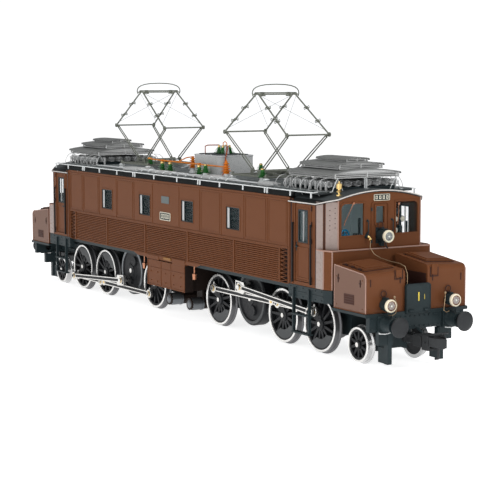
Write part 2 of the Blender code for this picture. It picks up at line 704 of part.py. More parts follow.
# ---- bogie: frame, hoods, wheels, rods, buffers, coupler and motor ------------
def bogie_frame(end_name):
    end = ENDS[end_name]
    low, high = BOGIE_LOW, BOGIE_TOP
    main = [(BOGIE_X[0], low), (PONY_GAP_X, low), (PONY_GAP_X, PONY_ROOM), (BOGIE_X[1], PONY_ROOM),
            (BOGIE_X[1], DECK_Z[1] - 0.0005), (DECK_X[0], DECK_Z[1] - 0.0005), (PIVOT_X + 0.02, high),
            (BOGIE_X[0], high)]
    frame = mirrored(prism(main, "Y", -BOGIE_HALF, BOGIE_HALF), end)
    joined = [
        block((DECK_X[0], -DECK_HALF, DECK_Z[0]), (DECK_X[1], DECK_HALF, DECK_Z[1])),
        block((DECK_X[1] - BEAM_THICK, -BEAM_HALF, BEAM_Z), (DECK_X[1], BEAM_HALF, DECK_Z[0] + 0.0005)),
        prism([(-0.0105, DECK_Z[0]), (0.0105, DECK_Z[0]), (0.0105, 0.0574), (0.0091, 0.0588),
               (-0.0091, 0.0588),
               (-0.0105, 0.0574)], "X", DECK_X[1] - 0.0005, DECK_X[1] + 0.0013),
        cylinder((TRUCK_X, 0, TRUCK_Z[0]), (TRUCK_X, 0, PONY_ROOM + 0.001), TRUCK_PIN_R, 12),
        cylinder((COUPLER_X, 0, COUPLER_Z - 0.004), (COUPLER_X, 0, PONY_ROOM + 0.001), COUPLER_PIN_R, 10),
    ]
    bores = [
        cylinder((PIVOT_X, 0, PIVOT_LOW - 0.0012), (PIVOT_X, 0, high + 0.01), PIVOT_R + PIVOT_PLAY, 16),
        block((JACK_X - AXLE_R - AXLE_PLAY, -0.02, low - 0.01),
              (JACK_X + AXLE_R + AXLE_PLAY, 0.02, JACK_Z + AXLE_R + AXLE_PLAY)),
    ]
    for x in DRIVER_X:
        slot = AXLE_R + AXLE_PLAY
        bores.append(block((x - slot, -0.02, low - 0.01), (x + slot, 0.02, WHEEL_Z + slot)))
    for side in SIDES.values():
        post = span(side, GUARD_Y - 0.0018, GUARD_Y + 0.0018)
        joined.append(block((GUARD_X - 0.0022, post[0], GUARD_LOW),
                            (GUARD_X + 0.0022, post[1], BEAM_Z + 0.001)))
        joined.append(block((GUARD_X - 0.0105, side * GUARD_Y - 0.0006, GUARD_LOW),
                            (GUARD_X, side * GUARD_Y + 0.0006, 0.0150)))
        at = side * BUFFER_Y
        joined.append(cylinder((DECK_X[1] - 0.001, at, BUFFER_Z), (SLEEVE_END, at, BUFFER_Z), SLEEVE_R, 12))
        bores.append(cylinder((DECK_X[1] - 0.008, at, BUFFER_Z), (SLEEVE_END + 0.001, at, BUFFER_Z),
                              SHANK_R + SHANK_PLAY, 12))
    node(f"bogie_frame_{end_name}", frame, "frame_black",
         add=[mirrored(bm, end) for bm in joined], cut=[mirrored(bm, end) for bm in bores])


def hood(end_name, side_name):
    """An equipment hood on the footplate: an open-bottomed box with a sloping top, a lid and a headlight."""
    end, side = ENDS[end_name], SIDES[side_name]
    rear, front = HOOD_TOP[side_name if end > 0 else OTHER_SIDE[side_name]]
    span_x, span_y = HOOD_X[1] - HOOD_X[0], HOOD_Y[1] - HOOD_Y[0]

    def top_at(x, y):
        along, across = (abs(x) - HOOD_X[0]) / span_x, (abs(y) - HOOD_Y[0]) / span_y
        return rear + (front - rear) * along - HOOD_FALL * across

    shell = box_at(end, side, HOOD_X, HOOD_Y, (DECK_Z[1] + GAP, front))
    lid = box_at(end, side, LID_X, LID_Y, (0, 1))
    for v in shell.verts:
        if v.co.z > DECK_Z[1] + 2 * GAP:
            v.co.z = top_at(v.co.x, v.co.y)
    for v in lid.verts:
        v.co.z = top_at(v.co.x, v.co.y) + (LID_RISE if v.co.z > 0.5 else -LID_RISE / 2)
    edge = [
        edge for edge in shell.edges
        if all(v.co.z > DECK_Z[1] + 2 * GAP and abs(abs(v.co.x) - HOOD_X[1]) < 0.0001 for v in edge.verts)
    ]
    bmesh.ops.bevel(shell, geom=edge, offset=HOOD_ROUND, segments=3, profile=0.5, affect="EDGES")
    x, y, z = LOW_LAMP
    lamp = cylinder((end * (HOOD_X[1] - 0.0006), side * y, z), (end * x, side * y, z), LAMP_R)
    inside = box_at(end, side, (HOOD_X[0] + HOOD_WALL, HOOD_X[1] - HOOD_WALL),
                    (HOOD_Y[0] + HOOD_WALL, HOOD_Y[1] - HOOD_WALL),
                    (DECK_Z[1] - 0.005, front - HOOD_FALL - HOOD_ROUND - HOOD_WALL))
    node(f"hood_{end_name}_{side_name}", shell, "oxide_brown", add=[lid, lamp], cut=[inside])


def wheel_profile(radius, hub, hub_out):
    return [(0, hub_out), (hub, hub_out), (hub, WHEEL_OUT), (radius, WHEEL_OUT),
            (radius, WHEEL_BACK + 0.0016),
            (radius + FLANGE, WHEEL_BACK + 0.0009), (radius + FLANGE, WHEEL_BACK), (AXLE_R, WHEEL_BACK)]


def pins_at(end_name, x, z, start, reach):
    """One crank pin on each side of an axle."""
    made = []
    for side in SIDES.values():
        dx, dz = crank_offset(end_name, side)
        made.append(cylinder((x + dx, side * start, z + dz), (x + dx, side * reach, z + dz), PIN_R, 8))
    return made


def wheelsets(end_name):
    end = ENDS[end_name]
    hub_out = WHEEL_OUT + 0.0006
    last = DRIVER_X[-1]
    for i, x in enumerate(DRIVER_X, start=1):
        reach = (MAIN_OUT if x == last else COUPLING_OUT) + PIN_PAST
        turned(f"driving_wheelset_{end_name}_{i}", wheel_profile(WHEEL_R, HUB_R, hub_out), "wheel_black",
               (end * x, 0, WHEEL_Z), 16, add=pins_at(end_name, end * x, WHEEL_Z, WHEEL_OUT - 0.002, reach))
    turned(f"pony_wheelset_{end_name}", wheel_profile(PONY_R, HUB_R * 0.6, hub_out), "wheel_black",
           (end * PONY_X, 0, PONY_Z), 12)
    drum = [(0, JACK_OUT + 0.0006), (HUB_R, JACK_OUT + 0.0006), (HUB_R, JACK_OUT), (JACK_R, JACK_OUT),
            (JACK_R, JACK_BACK), (AXLE_R, JACK_BACK)]
    turned(f"jackshaft_{end_name}", drum, "wheel_black", (end * JACK_X, 0, JACK_Z), 16,
           add=pins_at(end_name, end * JACK_X, JACK_Z, JACK_OUT - 0.002, MAIN_OUT + PIN_PAST))


def rods(end_name, side_name):
    """The coupling rod through all three driving cranks, and the main rod from jackshaft to end crank."""
    end, side = ENDS[end_name], SIDES[side_name]
    dx, dz = crank_offset(end_name, side)
    drivers = [(end * x + dx, WHEEL_Z + dz) for x in DRIVER_X]
    shaft = (end * JACK_X + dx, JACK_Z + dz)

    def rod(name, ends, eyes, layer, half, eye_r):
        y0, y1 = span(side, *layer)
        (xa, za), (xb, zb) = ends
        length = math.hypot(xb - xa, zb - za)
        ux, uz = (xb - xa) / length, (zb - za) / length
        past = PIN_R + PIN_PLAY + ROD_WEB
        outline = [
            (x + way * past * ux - half * uz * turn, z + way * past * uz + half * ux * turn)
            for x, z, way, turn in ((xa, za, -1, 1), (xa, za, -1, -1), (xb, zb, 1, -1), (xb, zb, 1, 1))
        ]
        web = (y0 + ROD_WEB, y1 - ROD_WEB)
        rounds = [cylinder((x, y0, z), (x, y1, z), r, 12) for (x, z), r in zip(eyes, eye_r)]
        bores = [cylinder((x, -0.05, z), (x, 0.05, z), PIN_R + PIN_PLAY, 8) for x, z in eyes]
        node(name, prism(outline, "Y", *web), "bright_steel", origin=(eyes[-1][0], 0, eyes[-1][1]),
             add=rounds, cut=bores)

    rod(f"coupling_rod_{end_name}_{side_name}", (drivers[0], drivers[-1]), drivers,
        (COUPLING_IN, COUPLING_OUT),
        ROD_HALF, (EYE_R, EYE_R, EYE_R))
    rod(f"main_rod_{end_name}_{side_name}", (shaft, drivers[-1]), (shaft, drivers[-1]), (MAIN_IN, MAIN_OUT),
        ROD_HALF, (BIG_END_R, EYE_R))


def pony_truck(end_name):
    end = ENDS[end_name]
    arm = block((TRUCK_X - 0.0045, -TRUCK_HALF, TRUCK_Z[0]), (PONY_X + 0.0055, TRUCK_HALF, TRUCK_Z[1]))
    slot = AXLE_R + AXLE_PLAY
    cuts = [
        cylinder((TRUCK_X, 0, 0), (TRUCK_X, 0, 0.05), TRUCK_PIN_R + PIVOT_PLAY, 12),
        block((PONY_X - slot, -0.02, 0), (PONY_X + slot, 0.02, PONY_Z + slot)),
    ]
    node(f"pony_truck_{end_name}", mirrored(arm, end), "frame_black", origin=(end * TRUCK_X, 0, 0),
         cut=[mirrored(bm, end) for bm in cuts])


def buffer(end_name, side_name):
    end, side = ENDS[end_name], SIDES[side_name]
    at = side * BUFFER_Y
    shank = cylinder((end * (DECK_X[1] - 0.001), at, BUFFER_Z),
                     (end * (BUFFER_FACE - 0.001), at, BUFFER_Z), SHANK_R, 12)
    head = cylinder((end * (BUFFER_FACE - 0.0018), at, BUFFER_Z), (end * BUFFER_FACE, at, BUFFER_Z),
                    BUFFER_R, 20)
    node(f"buffer_{end_name}_{side_name}", head, "frame_black",
         origin=(end * BUFFER_FACE, at, BUFFER_Z), add=[shank])


def coupler(end_name):
    """Claw coupling on an upright pin under the buffer beam."""
    end = ENDS[end_name]
    low, high = COUPLER_Z - 0.0028, COUPLER_Z + 0.0028
    shank = block((COUPLER_X - 0.0030, -0.0042, low), (0.2990, 0.0042, high))
    joined = [
        block((0.2960, -0.0075, low - 0.0020), (0.3040, 0.0075, high + 0.0030)),
        prism([(0.3035, -0.0070), (0.3035, 0.0030), (0.3100, 0.0030), (COUPLER_TIP, -0.0010),
               (0.3110, -0.0060)], "Z",
              low + 0.0010, high + 0.0020),
        block((0.3035, -0.0015, 0.0100), (0.3065, 0.0015, low + 0.0020)),
    ]
    bore = cylinder((COUPLER_X, 0, 0), (COUPLER_X, 0, 0.05), COUPLER_PIN_R + PIVOT_PLAY, 10)
    node(f"coupler_{end_name}", mirrored(shank, end), "frame_black", origin=(end * COUPLER_X, 0, COUPLER_Z),
         add=[mirrored(bm, end) for bm in joined], cut=[mirrored(bore, end)])


def motor(end_name):
    end = ENDS[end_name]
    can = cylinder((end * MOTOR_X[0], 0, MOTOR_Z), (end * MOTOR_X[1], 0, MOTOR_Z), MOTOR_R, 16)
    saddle = box_at(end, 1, (MOTOR_X[0] + 0.006, MOTOR_X[1] - 0.006), (-0.009, 0.009),
                    (BOGIE_TOP + GAP, MOTOR_Z - 0.008))
    node(f"motor_{end_name}", can, "motor_steel", add=[saddle])


underframe()
transformer_case()
body_shell()
roof()
breaker_tank()
high_voltage_line()
for side_word in SIDES:
    cooler(side_word)
for end_word in ENDS:
    resistor_cover(end_word)
    panto_base(end_word)
    for way in (1, -1):
        lower_arm(end_word, way)
        upper_arm(end_word, way)
    panto_head(end_word)
    bogie_frame(end_word)
    wheelsets(end_word)
    pony_truck(end_word)
    coupler(end_word)
    motor(end_word)
    for side_word in SIDES:
        cab_door(end_word, side_word)
        hood(end_word, side_word)
        rods(end_word, side_word)
        buffer(end_word, side_word)
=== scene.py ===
import math

import bmesh
import bpy
from mathutils import Matrix, Vector


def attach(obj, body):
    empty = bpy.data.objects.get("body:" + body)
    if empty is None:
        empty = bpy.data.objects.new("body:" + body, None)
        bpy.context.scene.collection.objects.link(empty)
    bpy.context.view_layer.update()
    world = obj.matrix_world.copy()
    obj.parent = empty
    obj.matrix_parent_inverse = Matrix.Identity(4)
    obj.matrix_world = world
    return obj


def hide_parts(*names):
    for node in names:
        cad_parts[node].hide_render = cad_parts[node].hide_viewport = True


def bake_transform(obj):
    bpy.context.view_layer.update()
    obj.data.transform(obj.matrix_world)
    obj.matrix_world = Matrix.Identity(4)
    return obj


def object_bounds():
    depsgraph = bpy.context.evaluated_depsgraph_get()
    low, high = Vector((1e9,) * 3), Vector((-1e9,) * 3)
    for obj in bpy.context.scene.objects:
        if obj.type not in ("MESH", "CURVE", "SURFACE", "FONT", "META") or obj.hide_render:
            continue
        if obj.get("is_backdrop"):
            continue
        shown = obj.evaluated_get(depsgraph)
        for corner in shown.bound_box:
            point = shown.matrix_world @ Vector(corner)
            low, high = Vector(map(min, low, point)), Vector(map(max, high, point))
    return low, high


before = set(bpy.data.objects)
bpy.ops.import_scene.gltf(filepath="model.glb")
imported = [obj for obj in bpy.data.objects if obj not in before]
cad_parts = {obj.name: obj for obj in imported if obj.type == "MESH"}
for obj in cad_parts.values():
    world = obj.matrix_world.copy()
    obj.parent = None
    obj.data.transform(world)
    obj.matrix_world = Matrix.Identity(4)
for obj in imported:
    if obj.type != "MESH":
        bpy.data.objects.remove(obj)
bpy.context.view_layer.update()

# ---- viewpoint ------------------------------------------------------------------
# A long lens stands off the front right corner of the model, a little above the roof,
# so that the long side, the cab front and the tops of the hoods all show.
EYE = Vector((1.12873, -0.64276, 0.19914))
AIM = Vector((0.17072, -0.06677, 0.07488))
camera = bpy.data.objects.new("viewpoint", bpy.data.cameras.new("viewpoint"))
camera.data.lens, camera.data.sensor_width = 112.64, 36.0
camera.data.clip_start, camera.data.clip_end = 0.05, 20.0
camera.location = EYE
camera.rotation_euler = (AIM - EYE).to_track_quat("-Z", "Y").to_euler()
bpy.context.scene.collection.objects.link(camera)
bpy.context.scene.camera = camera


# ---- display floor and studio lamps -----------------------------------------------
# The model stands on a matt, glowing white card, so that no horizon shows. Soft lamps stand
# off its right side, its tail and its front, and one hangs above; a white sky fills in the rest.
class Wave:
    """A value that changes over a surface. Sums on it add Math nodes to its finish."""

    def __init__(self, finish, socket):
        self.finish, self.socket = finish, socket

    def _sum(self, operation, first, second):
        return self.finish.node("ShaderNodeMath", {"operation": operation}, {0: first, 1: second})

    def __add__(self, other):
        return self._sum("ADD", self, other)

    def __sub__(self, other):
        return self._sum("SUBTRACT", self, other)

    def __rsub__(self, other):
        return self._sum("SUBTRACT", other, self)

    def __mul__(self, other):
        return self._sum("MULTIPLY", self, other)

    def __gt__(self, other):
        return self._sum("GREATER_THAN", self, other)

    def __lt__(self, other):
        return self._sum("LESS_THAN", self, other)

    __radd__, __rmul__ = __add__, __mul__


class Finish:
    """A paint, metal, glass or glaze: one Principled shader and what feeds it."""

    def __init__(self, name, roughness, metallic=0.0, **fixed):
        self.material = bpy.data.materials.new(name)
        self.material.use_nodes = True
        self.tree = self.material.node_tree
        self.shader = self.tree.nodes["Principled BSDF"]
        self.feed("Roughness", roughness)
        self.feed("Metallic", metallic)
        for socket, value in fixed.items():
            self.feed(socket.replace("_", " "), value)
        self.spot = self.node("ShaderNodeTexCoord", {}, {}, "Object")

    def link(self, socket, value):
        if isinstance(value, Wave):
            self.tree.links.new(value.socket, socket)
        elif isinstance(value, (tuple, list)) and len(value) == 3 and len(socket.default_value) == 4:
            socket.default_value = (*value, 1.0)
        else:
            socket.default_value = value

    def node(self, kind, settings, values, out=0):
        made = self.tree.nodes.new(kind)
        for key, value in settings.items():
            if key == "stops":
                for stop, (place, colour) in zip(made.color_ramp.elements, value):
                    stop.position, stop.color = place, (*colour, 1.0)
            else:
                setattr(made, key, value)
        for key, value in values.items():
            self.link(made.inputs[key], value)
        return Wave(self, made.outputs[out])

    def feed(self, socket, value):
        self.link(self.shader.inputs[socket], value)

    def noise(self, scale, detail=2.0):
        return self.node("ShaderNodeTexNoise", {}, {"Vector": self.spot, "Scale": scale, "Detail": detail})

    def axis(self, letter):
        return self.node("ShaderNodeSeparateXYZ", {}, {0: self.spot}, letter)

    def size(self, wave):
        return self.node("ShaderNodeMath", {"operation": "ABSOLUTE"}, {0: wave})

    def mixed(self, factor, first, second):
        return self.node("ShaderNodeMix", {"data_type": "RGBA"}, {0: factor, 6: first, 7: second}, 2)

    def bump(self, height, strength, depth=0.00006):
        lift = self.node("ShaderNodeBump", {}, {"Strength": strength, "Distance": depth, "Height": height})
        self.feed("Normal", lift)


def toned(colour, share):
    return tuple(min(1.0, part * share) for part in colour)


def painted(name, colour, roughness, metallic=0.0, mottle=0.10, **fixed):
    """Sprayed paint: cloudy tone, uneven gloss and a fine orange peel."""
    finish = Finish(name, roughness, metallic, **{"Specular_IOR_Level": 0.20, **fixed})
    tone = finish.mixed(finish.noise(85.0, 4.0), toned(colour, 1 - mottle), toned(colour, 1 + mottle))
    finish.feed("Base Color", tone)
    finish.feed("Roughness", roughness - 0.07 + 0.14 * finish.noise(420.0, 3.0))
    finish.bump(finish.noise(2600.0), 0.12)
    finish.tone = tone
    return finish


card = painted("floor_card", (0.93, 0.93, 0.93), 0.85, mottle=0.01)
card.feed("Emission Color", (1.0, 1.0, 1.0))
card.feed("Emission Strength", 0.80)
FLOOR_HALF = 4.0
sheet = bpy.data.meshes.new("floor")
corners = [(-FLOOR_HALF, -FLOOR_HALF, 0), (FLOOR_HALF, -FLOOR_HALF, 0), (FLOOR_HALF, FLOOR_HALF, 0),
           (-FLOOR_HALF, FLOOR_HALF, 0)]
sheet.from_pydata(corners, [], [(0, 1, 2, 3)])
sheet.materials.append(card.material)
floor = bpy.data.objects.new("floor", sheet)
bpy.context.scene.collection.objects.link(floor)
floor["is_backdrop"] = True

bpy.context.scene.view_settings.view_transform = "Standard"
sky = bpy.data.worlds.new("studio")
bpy.context.scene.world = sky
sky.use_nodes = True
backdrop = sky.node_tree.nodes["Background"]
backdrop.inputs["Color"].default_value = (0.97, 0.98, 1.0, 1.0)
direct = sky.node_tree.nodes.new("ShaderNodeLightPath")
level = sky.node_tree.nodes.new("ShaderNodeMapRange")
level.inputs["To Min"].default_value, level.inputs["To Max"].default_value = 0.27, 1.10
sky.node_tree.links.new(direct.outputs["Is Camera Ray"], level.inputs["Value"])
sky.node_tree.links.new(level.outputs["Result"], backdrop.inputs["Strength"])
for name, place, across, high, watts in (
    ("side_lamp", (0.62, -1.35, 0.50), 1.0, 0.95, 6.2),
    ("tail_lamp", (-1.20, -0.90, 0.50), 0.7, 0.9, 0.7),
    ("top_lamp", (0.35, -0.10, 1.60), 1.2, 1.2, 12.0),
    ("front_lamp", (1.60, 0.35, 0.80), 0.7, 0.7, 7.4),
):
    lamp = bpy.data.lights.new(name, "AREA")
    lamp.shape, lamp.size, lamp.size_y, lamp.energy = "RECTANGLE", across, high, watts
    stand = bpy.data.objects.new(name, lamp)
    stand.location = place
    stand.rotation_euler = (Vector((0.1, 0.0, 0.06)) - Vector(place)).to_track_quat("-Z", "Y").to_euler()
    bpy.context.scene.collection.objects.link(stand)


# ---- underframe -------------------------------------------------------------------
# A folded sheet floor with a sole bar at each corner, sprayed blue-black. The step ladders
# hang from the sole bars, and rows of bolt heads hold the bars to the floor.
MM = 0.001
ENDS = {"front": 1, "rear": -1}
SIDES = {"left": 1, "right": -1}


class Shape:
    """A mesh being made, in millimetres. Each method adds one solid to it."""

    def __init__(self):
        self.bm = bmesh.new()

    def box(self, low, high):
        low, high = Vector(low), Vector(high)
        size = [abs(part) for part in high - low]
        bmesh.ops.create_cube(
            self.bm, size=1.0, matrix=Matrix.Translation((low + high) / 2) @ Matrix.Diagonal((*size, 1.0))
        )
        return self

    def rod(self, start, end, radius, radius_end=None, sides=12):
        start, end = Vector(start), Vector(end)
        turn = (end - start).to_track_quat("Z", "X").to_matrix().to_4x4()
        bmesh.ops.create_cone(
            self.bm, cap_ends=True, segments=sides, radius1=radius,
            radius2=radius if radius_end is None else radius_end, depth=(end - start).length,
            matrix=Matrix.Translation((start + end) / 2) @ turn,
        )
        return self

    def ball(self, centre, radius):
        bmesh.ops.create_uvsphere(
            self.bm, u_segments=12, v_segments=8, radius=radius, matrix=Matrix.Translation(centre)
        )
        return self

    def turned(self, profile, start, axis, sides=32, ring=False):
        """A lathe shape: pairs of (distance along the axis, radius), or a closed ring of them."""
        turn = Vector(axis).to_track_quat("Z", "X")
        rows = []
        for along, radius in profile:
            around = [
                Vector((radius * math.cos(math.tau * i / sides), radius * math.sin(math.tau * i / sides),
                        along))
                for i in range(sides if radius > 0.001 else 1)
            ]
            rows.append([self.bm.verts.new(Vector(start) + turn @ point) for point in around])
        for a, b in zip(rows, rows[1:] + (rows[:1] if ring else [])):
            for i in range(sides):
                j = (i + 1) % sides
                face = [a[i % len(a)], a[j % len(a)], b[j % len(b)], b[i % len(b)]]
                self.bm.faces.new(list(dict.fromkeys(face)))
        return self

    def bar(self, outline, axis, low, high):
        """A flat outline in the other two axes, in X, Y, Z order, drawn out along one axis."""
        across = "XYZ".index(axis)
        rows = []
        for level in (low, high):
            spots = [list(point) for point in outline]
            for spot in spots:
                spot.insert(across, level)
            rows.append([self.bm.verts.new(spot) for spot in spots])
        self.bm.faces.new(rows[0])
        self.bm.faces.new(rows[1][::-1])
        for i in range(len(outline)):
            j = (i + 1) % len(outline)
            self.bm.faces.new([rows[0][i], rows[1][i], rows[1][j], rows[0][j]])
        return self

    def frame(self, outer, inner, axis, low, high):
        """A flat ring between two outlines with the same number of corners, drawn out."""
        across = "XYZ".index(axis)
        loops = []
        for outline, level in ((outer, low), (outer, high), (inner, high), (inner, low)):
            spots = [list(point) for point in outline]
            for spot in spots:
                spot.insert(across, level)
            loops.append([self.bm.verts.new(spot) for spot in spots])
        for a, b in zip(loops, loops[1:] + loops[:1]):
            for i in range(len(a)):
                j = (i + 1) % len(a)
                self.bm.faces.new([a[i], b[i], b[j], a[j]])
        return self

    def tube(self, points, radius, sides=6, closed=False):
        """A wire or pipe along a line of points."""
        points = [Vector(point) for point in points]
        rows, normal = [], None
        for i, point in enumerate(points):
            ahead = points[(i + 1) % len(points)] if closed or i + 1 < len(points) else point
            behind = points[i - 1] if closed or i else point
            along = ((ahead - point).normalized() + (point - behind).normalized()).normalized()
            normal = along.orthogonal() if normal is None else normal - along * normal.dot(along)
            normal.normalize()
            side = along.cross(normal)
            spin = [math.tau * (k + 0.5) / sides for k in range(sides)]
            rows.append([
                self.bm.verts.new(point + radius * (math.cos(a) * normal + math.sin(a) * side)) for a in spin
            ])
        for a, b in zip(rows, rows[1:] + (rows[:1] if closed else [])):
            for k in range(sides):
                self.bm.faces.new([a[k], a[(k + 1) % sides], b[(k + 1) % sides], b[k]])
        if not closed:
            self.bm.faces.new(rows[0][::-1])
            self.bm.faces.new(rows[-1])
        return self

    def copied(self, matrix):
        """The same again, moved or mirrored."""
        made = bmesh.ops.duplicate(self.bm, geom=self.bm.verts[:] + self.bm.edges[:] + self.bm.faces[:])
        spots = [part for part in made["geom"] if isinstance(part, bmesh.types.BMVert)]
        bmesh.ops.transform(self.bm, matrix=matrix, verts=spots)
        return self

    def both_sides(self):
        return self.copied(Matrix.Diagonal((1, -1, 1, 1)))

    def both_ends(self):
        return self.copied(Matrix.Diagonal((-1, 1, 1, 1)))

    def piece(self, name, finish, body, slot=None, stands_for=(), at=Matrix(), edge=0.0, smooth=35.0):
        """Ends the mesh and hangs it on its body. edge rounds the sharp edges by that much."""
        bmesh.ops.transform(self.bm, matrix=at, verts=self.bm.verts)
        bmesh.ops.scale(self.bm, vec=(MM, MM, MM), verts=self.bm.verts)
        bmesh.ops.recalc_face_normals(self.bm, faces=self.bm.faces)
        mesh = bpy.data.meshes.new(name)
        self.bm.to_mesh(mesh)
        self.bm.free()
        mesh.materials.append(finish.material)
        mesh.shade_smooth()
        made = bpy.data.objects.new(name, mesh)
        bpy.context.scene.collection.objects.link(made)
        if edge:
            rounding = made.modifiers.new("edges", "BEVEL")
            rounding.width, rounding.segments = edge * MM, 2
            rounding.limit_method, rounding.angle_limit = "ANGLE", math.radians(40)
            rounding.harden_normals = True
        else:
            mesh.set_sharp_from_angle(angle=math.radians(smooth))
        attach(made, body)
        if stands_for:
            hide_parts(*stands_for)
        return made


def spread(end, side):
    """Puts a shape made for the front left into any quarter of the model."""
    return Matrix.Diagonal((end, side, 1, 1))


def half_turn(end):
    """Puts a shape made for the front bogie onto either bogie; the rear one is turned round."""
    return Matrix.Rotation(0.0 if end > 0 else math.pi, 4, "Z")


def dressed(node_name, finish):
    """Gives a part that keeps its own shape its real finish."""
    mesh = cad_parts[node_name].data
    mesh.materials.clear()
    mesh.materials.append(finish.material)
    mesh.shade_smooth()
    mesh.set_sharp_from_angle(angle=math.radians(30))


black = painted("blue_black_paint", (0.016, 0.026, 0.029), 0.46, mottle=0.25)
dressed("underframe", black)
bolts = Shape()
for x in range(191, 232, 8):
    for z in (43.6, 49.8):
        bolts.rod((x, 44.6, z), (x, 45.3, z), 0.65, 0.5, sides=6)
bolts.box((188.4, 44.7, 46.2), (233.0, 45.15, 47.0))
bolts.both_sides().both_ends().piece("sole_bar_fittings", black, "loco_body", "frame_black", edge=0.15)

hangers = Shape()
for x in (195.8, 216.0):
    hangers.tube([(x, 45.6, 47.0), (x, 45.9, 30.0), (x, 45.4, 17.6)], 0.75, sides=8)
for z in (17.2, 30.2):
    for x in (198.0, 202.0, 206.0, 210.0, 214.0):
        hangers.box((x - 0.7, 43.0, z + 0.7), (x + 0.7, 46.5, z + 1.4))
hangers.both_sides().both_ends().piece("step_ladders", black, "loco_body", "frame_black")

# ---- transformer case ------------------------------------------------------------
# A folded brown box between the bogies with lifting lugs and cover screws. Two plated air
# tanks lie across the model under it, and a small copper oil cup hangs at each corner.
BROWN = (0.142, 0.052, 0.022)
brown = painted("oxide_brown_paint", BROWN, 0.36, mottle=0.07, Specular_IOR_Level=0.05)
rail = 0.0454
on_lamp = (brown.size(brown.axis("X")) > 0.2372) * (brown.size(brown.axis("Y")) < 0.0046)
is_rail = (brown.size(brown.axis("Y")) > rail) + on_lamp * (brown.axis("Z") > 0.0810)
brown.feed("Base Color", brown.mixed(is_rail, brown.tone, (0.022, 0.020, 0.020)))
plain_brown = painted("oxide_brown_detail", BROWN, 0.36, mottle=0.07, Specular_IOR_Level=0.05)
dark_brown = painted("shadowed_brown", (0.040, 0.016, 0.012), 0.55, mottle=0.12)
# A lighter brown for the rolled edges and beads: a painted highlight, the light their rounding catches.
painted_highlight_edge = painted("highlight_edge_brown", (0.36, 0.22, 0.175), 0.30, mottle=0.08)
case_brown = painted("case_brown_paint_shaded_ends", BROWN, 0.36, mottle=0.07, Specular_IOR_Level=0.05)
# The case's end faces and narrower inner part are painted near-black: painted shade, where they lie in
# shadow.
shaded_end_mask = (case_brown.size(case_brown.axis("Y")) < 0.0440) + (case_brown.size(case_brown.axis("X")) > 0.0328)
case_brown.feed("Base Color", case_brown.mixed(shaded_end_mask > 0.5, case_brown.tone, (0.020, 0.014, 0.012)))
dressed("transformer_case", case_brown)
case = Shape()
case.box((-32.6, 44.7, 40.6), (32.6, 45.25, 41.2)).box((-32.6, 44.7, 26.2), (32.6, 45.3, 27.0))
for x in (-31.9, -8.5, 8.5, 31.9):
    case.box((x - 0.5, 44.7, 26.4), (x + 0.5, 45.2, 46.6))
for x in (-26.0, -14.0, 0.0, 14.0, 26.0):
    for z in (30.0, 37.6):
        case.rod((x, 44.7, z), (x, 45.5, z), 0.6, 0.45, sides=8)
case.both_sides().piece("case_seams", plain_brown, "loco_body", "oxide_brown", edge=0.12)
lid = Shape().box((11.9, 44.7, 46.9), (33.2, 45.3, 51.6)).box((-33.2, 44.7, 47.6), (-12.0, 45.2, 51.0))
lid.bar([(-60.0, 51.4), (60.0, 51.4), (50.5, 48.6), (-50.5, 48.6)], "Y", 43.9, 44.9)
lid.both_sides().piece("case_upper_cover", plain_brown, "loco_body", "oxide_brown", edge=0.15)
ochre = painted("ochre_plate", (0.25, 0.11, 0.02), 0.45)
Shape().box((-2.8, 45.1, 49.2), (9.6, 45.6, 51.3)).both_sides().piece(
    "case_ochre_plate", ochre, "loco_body", edge=0.2)
steel = Finish("bright_steel", 0.26, 1.0)
steel.feed("Base Color", steel.mixed(steel.noise(600.0, 3.0), (0.56, 0.55, 0.53), (0.74, 0.73, 0.70)))
steel.feed("Roughness", 0.20 + 0.16 * steel.noise(900.0, 3.0))
steel.bump(steel.noise(1800.0), 0.10)
copper = Finish("copper", 0.30, 1.0)
copper.feed("Base Color", copper.mixed(copper.noise(500.0), (0.34, 0.14, 0.08), (0.52, 0.25, 0.15)))
dull = painted("plated_tank", (0.16, 0.17, 0.18), 0.34, metallic=0.7)
TANK_X = (-26.5, 9.0)
tanks = Shape()
for x in TANK_X:
    for side in SIDES.values():
        tanks.turned([(0, 5.0), (0, 5.3), (8.0, 5.3), (9.6, 4.8), (10.8, 3.2), (11.2, 0)],
                     (x, side * 17.4, 12.4), (0, side, 0), sides=28)
    for y in (-17.9, 16.5):
        tanks.turned([(0, 5.0), (0, 5.6), (1.4, 5.6), (1.4, 5.0)], (x, y, 12.4), (0, 1, 0), ring=True)
tanks.piece("air_tank_ends", dull, "loco_body", "motor_steel")
cups = Shape()
for x in (-43.5, 43.5):
    cups.turned([(0, 0), (0, 1.4), (4.4, 1.9), (5.2, 1.2), (5.2, 0)], (x, 42.0, 37.6), (0, 0, 1), sides=16)
    cups.rod((x, 42.0, 42.6), (x, 42.0, 48.4), 0.6)
cups.both_sides().piece("oil_cups", copper, "loco_body", "copper_orange")

# ---- body shell trim -----------------------------------------------------------------
# Upright pressed strips stiffen the side plates between the windows, with a moulding under
# the eave. The cab corners are riveted plates with a hinge line, with a painted sheen laid on them as
# paler strips, and the nose edge is rolled, its beads painted lighter as a highlight.
dressed("body_shell", brown)
HALF = 44.9
trim = Shape()
for x in (23, 57, 91, 125, 158.5, 186.3):
    trim.box((x - 0.45, HALF - 0.1, 76.9), (x + 0.45, HALF + 0.30, 111.2))

trim.both_ends()
trim.box((-187.6, HALF - 0.1, 110.7), (187.6, HALF + 0.5, 111.7))
trim.box((-187.6, HALF - 0.1, 76.7), (187.6, HALF + 0.6, 77.6))
trim.both_sides().piece("side_strips", plain_brown, "loco_body", "oxide_brown", edge=0.18)

